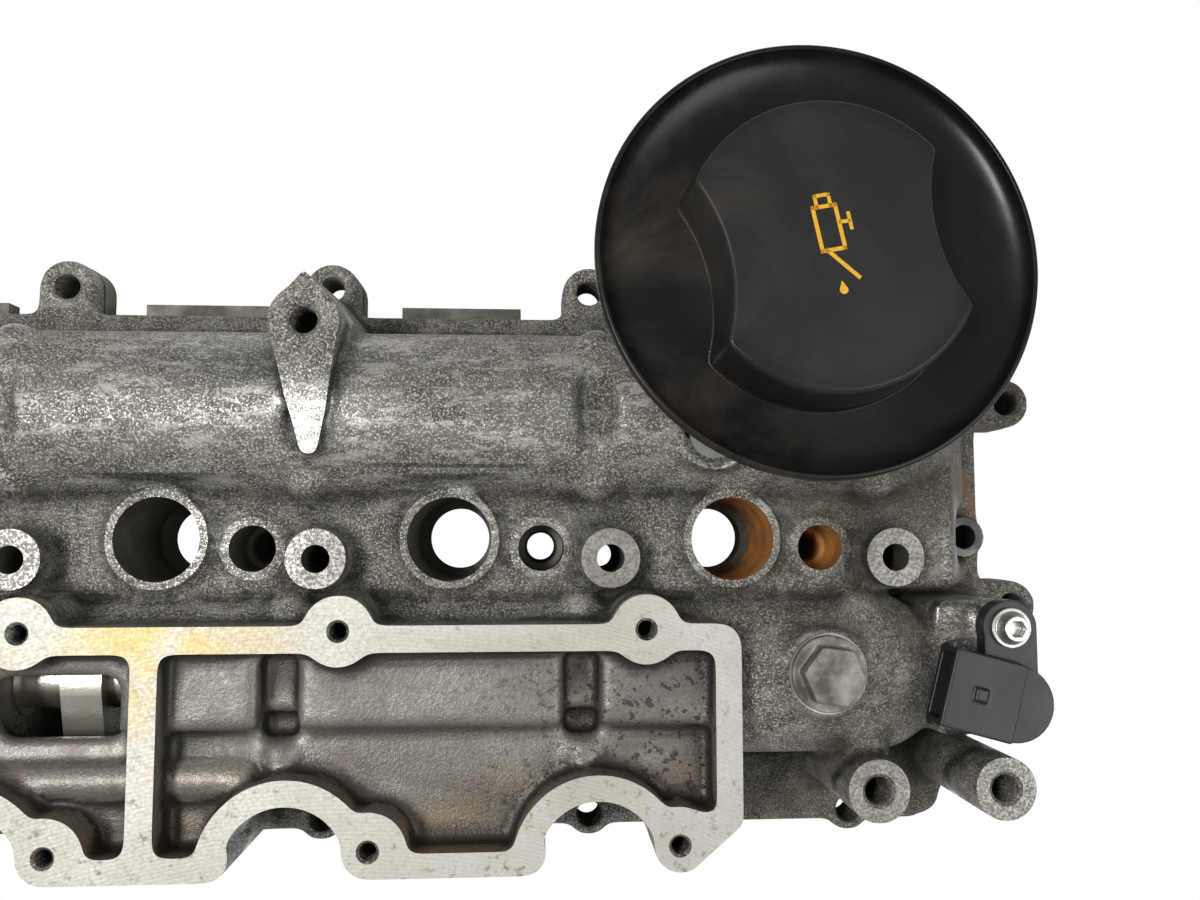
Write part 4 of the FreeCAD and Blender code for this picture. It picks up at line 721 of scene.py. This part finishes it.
def cap_height(radius, turn):
    """Height of the cap's upper face over the rim plane."""
    x = radius * math.cos(turn)
    y = radius * math.sin(turn) + KNOB_SHIFT
    out = math.hypot(x, y) - knob_radius(math.atan2(y, x))
    if out < -KNOB_ROUND:
        knob = KNOB_TOP
    elif out < 0.0:
        bend = (out + KNOB_ROUND) / KNOB_ROUND
        knob = KNOB_TOP - KNOB_ROUND * (1.0 - math.sqrt(max(0.0, 1.0 - bend ** 2)))
    else:
        knob = KNOB_TOP - KNOB_ROUND - 14.0 * out
    rise = min(max((radius - BOWL_FLAT) / (BOWL_EDGE - BOWL_FLAT), 0.0), 1.0)
    bowl = -BOWL_DEPTH * math.sqrt(max(0.0, 1.0 - rise ** 2.1))
    if radius > BOWL_EDGE:
        bowl = 0.0 if radius < LIP_EDGE else -(radius - LIP_EDGE) * 1.2
    return soft_max(knob, bowl, 1.6) if radius < 50 else bowl


def build_cap():
    """The cap's shell: a knob in a dished bowl with a rolled rim, closed underneath."""
    steps = 360
    radii = list(np.arange(3.0, 26.0, 2.5)) + list(np.arange(26.0, 45.8, 0.3))
    radii += list(np.arange(46.0, 60.0, 0.7)) + [60.2, 60.45, 60.6, 60.9, 61.3, 61.6, 61.85, 62.0]
    under = [(62.0, -2.7), (61.6, -3.6), (60.6, -5.2), (57.0, -8.6), (52.0, -12.6), (47.0, -14.4),
             (38.0, CAP_BOTTOM), (20.0, CAP_BOTTOM)]
    rings = [(radius, None) for radius in radii] + under
    matrix = cap_frame()
    points = [matrix @ (Vector((0, 0, KNOB_TOP)) * MM)]
    for radius, level in rings:
        for i in range(steps):
            turn = 2 * math.pi * i / steps
            height = cap_height(radius, turn) if level is None else level
            spot = Vector((radius * math.cos(turn), radius * math.sin(turn), height))
            points.append(matrix @ (spot * MM))
    points.append(matrix @ (Vector((0, 0, CAP_BOTTOM)) * MM))
    faces = [(0, 1 + i, 1 + (i + 1) % steps) for i in range(steps)]
    for k in range(len(rings) - 1):
        for i in range(steps):
            j = (i + 1) % steps
            low, high = 1 + k * steps, 1 + (k + 1) * steps
            faces.append((low + i, high + i, high + j, low + j))
    last = 1 + (len(rings) - 1) * steps
    faces += [(last + (i + 1) % steps, last + i, len(points) - 1) for i in range(steps)]
    obj = from_faces("filler_cap_body", points, faces)
    obj.data.shade_smooth()
    obj.data.materials.append(cap_plastic())
    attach(obj, "filler_closure")
    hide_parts("filler_cap")


def ribbon(points, width, closed=False):
    """A flat line of the print: corner points of a strip along the given points."""
    strips = []
    count = len(points)
    spans = count if closed else count - 1
    for i in range(spans):
        a, b = Vector(points[i]), Vector(points[(i + 1) % count])
        along = (b - a).normalized()
        side = Vector((-along.y, along.x)) * width / 2
        ends = along * width / 2
        strips.append([a - ends - side, b + ends - side, b + ends + side, a - ends + side])
    return strips


def drop_outline(x, y, radius):
    """A drop: a round end with a point on its left."""
    shape = [Vector((x - 2.2 * radius, y))]
    for i in range(13):
        turn = math.radians(120 - 20 * i)
        shape.append(Vector((x + radius * math.cos(turn), y + radius * math.sin(turn))))
    return shape


def build_print():
    """A plain oil can and a drop, printed on the knob."""
    shapes = []
    shapes += ribbon([(-8.5, -3.6), (3.5, -3.6), (3.5, 2.6), (-8.5, 2.6)], 1.1, True)
    shapes += ribbon([(3.5, -2.2), (11.8, 4.4)], 1.1)
    shapes += ribbon([(-8.5, 1.4), (-11.6, 1.4), (-11.6, -2.4), (-8.5, -2.4)], 1.0)
    shapes += ribbon([(-3.6, 3.0), (-3.6, 5.4)], 1.0)
    shapes += ribbon([(-5.6, 5.6), (-1.6, 5.6)], 1.0)
    shapes.append(drop_outline(14.6, -0.4, 1.15))
    down = Vector((0.19, -0.98))
    right = Vector((0.98, 0.19))
    middle = Vector((-0.6, 0.6))
    matrix = cap_frame()
    work = bmesh.new()
    base, face = KNOB_TOP - 0.1, KNOB_TOP + 0.05
    for outline in shapes:
        lower = []
        upper = []
        for p in outline:
            flat = middle + down * p.x + right * p.y
            lower.append(work.verts.new(matrix @ (Vector((flat.x, flat.y, base)) * MM)))
            upper.append(work.verts.new(matrix @ (Vector((flat.x, flat.y, face)) * MM)))
        count = len(outline)
        work.faces.new(upper)
        work.faces.new(list(reversed(lower)))
        for i in range(count):
            j = (i + 1) % count
            work.faces.new((lower[i], lower[j], upper[j], upper[i]))
    bmesh.ops.recalc_face_normals(work, faces=work.faces)
    mesh = bpy.data.meshes.new("cap_print")
    work.to_mesh(mesh)
    work.free()
    obj = link("cap_print", mesh)
    obj.data.materials.append(print_ink())
    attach(obj, "filler_closure")


# The smaller pieces.

def dress(node, material):
    """A CAD node that keeps its own mesh and takes a finish."""
    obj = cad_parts[node]
    obj.data.materials.clear()
    obj.data.materials.append(material)


def soft_piece(node, name, body, material, voxel, rounds, most=60000):
    """A moulded or turned piece with slightly rounded edges, in place of its CAD node."""
    obj = copy_node(node, name)
    remesh(obj, voxel)
    write_positions(obj.data, relax(obj.data, rounds))
    thin_out(obj, most)
    obj.data.shade_smooth()
    obj.data.materials.append(material)
    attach(obj, body)
    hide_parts(node)


def build_pieces():
    """Finishes for the CAD nodes, and soft edges for the four that show closely."""
    ladder = steel("ladder_metal", (0.150, 0.140, 0.115), (0.058, 0.051, 0.038), 0.5, 420, 0.4)
    cam = steel("camshaft_metal", (0.66, 0.655, 0.63), (0.36, 0.32, 0.24), 0.22, 300)
    plated = steel("plated_steel", (0.55, 0.55, 0.53), (0.27, 0.26, 0.24), 0.3, 500)
    dark = steel("dark_steel", (0.17, 0.175, 0.18), (0.07, 0.07, 0.072), 0.4, 500)
    plug = steel("plug_metal", (0.30, 0.288, 0.25), (0.085, 0.078, 0.062), 0.45, 700, 0.5)
    brass = steel("terminal_metal", (0.72, 0.56, 0.28), (0.42, 0.32, 0.16), 0.3, 900)
    sensor = plastic("sensor_plastic", (0.010, 0.010, 0.011), (0.05, 0.047, 0.041), 0.38)
    neck = plastic("neck_plastic", (0.03, 0.03, 0.03), (0.10, 0.09, 0.07), 0.45)
    rubber = plastic("rubber", (0.018, 0.018, 0.018), (0.06, 0.055, 0.05), 0.65)
    dress("bearing_ladder", ladder)
    for node in ("camshaft_intake", "camshaft_exhaust"):
        dress(node, cam)
    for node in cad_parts:
        if node.startswith(("ladder_screw", "neck_screw")) or node in (
                "sensor_wheel", "socket_plug", "plug_washer", "sensor_sleeve", "sensor_screw"):
            dress(node, plated)
        elif node in ("camshaft_seal", "cap_seal", "neck_seal", "sensor_oring"):
            dress(node, rubber)
        elif node.startswith("sensor_terminal"):
            dress(node, brass)
        elif node in ("cap_insert", "oil_filler_neck"):
            dress(node, neck)
    fine = 0.32
    soft_piece("position_sensor", "sensor_body", "cover", sensor, fine, 3)
    soft_piece("screw_plug", "screw_plug_body", "cover", plug, fine, 3)
    soft_piece("guide_sleeve", "guide_sleeve_body", "cover", dark, fine, 2, 30000)
    soft_piece("sensor_screw", "sensor_screw_body", "cover", plated, fine * 0.7,
               2, 40000)


# Light, floor and camera.

def area(name, spot, aim, size, power):
    """A white area light at a spot, turned towards its aim."""
    lamp = bpy.data.lights.new(name, "AREA")
    lamp.shape = "RECTANGLE"
    lamp.size, lamp.size_y = size
    lamp.energy = power
    obj = bpy.data.objects.new(name, lamp)
    scene.collection.objects.link(obj)
    obj.location = spot
    obj.rotation_euler = (Vector(aim) - Vector(spot)).to_track_quat("-Z", "Y").to_euler()


def plain_shader(tree, kind, shade, strength=None):
    """A grey or white shader node, with a strength where its kind has one."""
    node = tree.nodes.new(kind)
    node.inputs["Color"].default_value = (shade, shade, shade, 1.0)
    if strength is not None:
        node.inputs["Strength"].default_value = strength
    return node


def white_backdrop(tree, output, lighting, backdrop):
    """Lights the part by the first node, and shows the second where nothing stands before it."""
    out = tree.nodes.new(output)
    path = tree.nodes.new("ShaderNodeLightPath")
    mix = tree.nodes.new("ShaderNodeMixShader")
    tree.links.new(path.outputs["Is Camera Ray"], mix.inputs[0])
    tree.links.new(lighting.outputs[0], mix.inputs[1])
    tree.links.new(backdrop.outputs[0], mix.inputs[2])
    tree.links.new(mix.outputs[0], out.inputs[0])


def build_stage():
    """A white floor and world, as in the photograph, with a key light and a fill light."""
    floor = from_faces("floor", [(-6, -6, 0), (6, -6, 0), (6, 6, 0), (-6, 6, 0)], [(0, 1, 2, 3)])
    floor.location.z = -0.0005
    mat = bpy.data.materials.new("pale_floor")
    mat.use_nodes = True
    tree = mat.node_tree
    tree.nodes.clear()
    white_backdrop(tree, "ShaderNodeOutputMaterial",
                   plain_shader(tree, "ShaderNodeBsdfDiffuse", 0.8),
                   plain_shader(tree, "ShaderNodeEmission", 1.0, 1.0))
    floor.data.materials.append(mat)
    world = bpy.data.worlds.new("studio")
    scene.world = world
    world.use_nodes = True
    tree = world.node_tree
    tree.nodes.clear()
    white_backdrop(tree, "ShaderNodeOutputWorld",
                   plain_shader(tree, "ShaderNodeBackground", 1.0, 0.42),
                   plain_shader(tree, "ShaderNodeBackground", 1.0, 1.0))
    area("key", (-0.50, 0.04, 1.15), (-0.05, 0.0, 0.04), (0.46, 0.16), 11.5)
    area("fill", (0.85, -0.15, 1.05), (0.05, 0.0, 0.04), (0.7, 0.6), 6.0)


def build_camera():
    """The camera that was fitted to the photograph, with its focal length in pixels."""
    sensor, focal, picture_width = 36.0, 1033.2, 1200.0
    lens = bpy.data.cameras.new("camera")
    lens.sensor_fit = "HORIZONTAL"
    lens.sensor_width = sensor
    lens.lens = sensor * focal / picture_width
    lens.shift_x = -0.0021
    lens.clip_start = 0.01
    obj = bpy.data.objects.new("camera", lens)
    scene.collection.objects.link(obj)
    turn = (Matrix.Rotation(-0.0013, 4, "Z") @ Matrix.Rotation(-0.0644, 4, "Y")
            @ Matrix.Rotation(0.0797, 4, "X"))
    obj.matrix_world = Matrix.Translation(Vector((28.0, 2.07, 392.5)) * MM) @ turn
    scene.camera = obj


scene.view_settings.view_transform = "Standard"
build_casting()
build_cap()
build_print()
build_pieces()
build_stage()
build_camera()
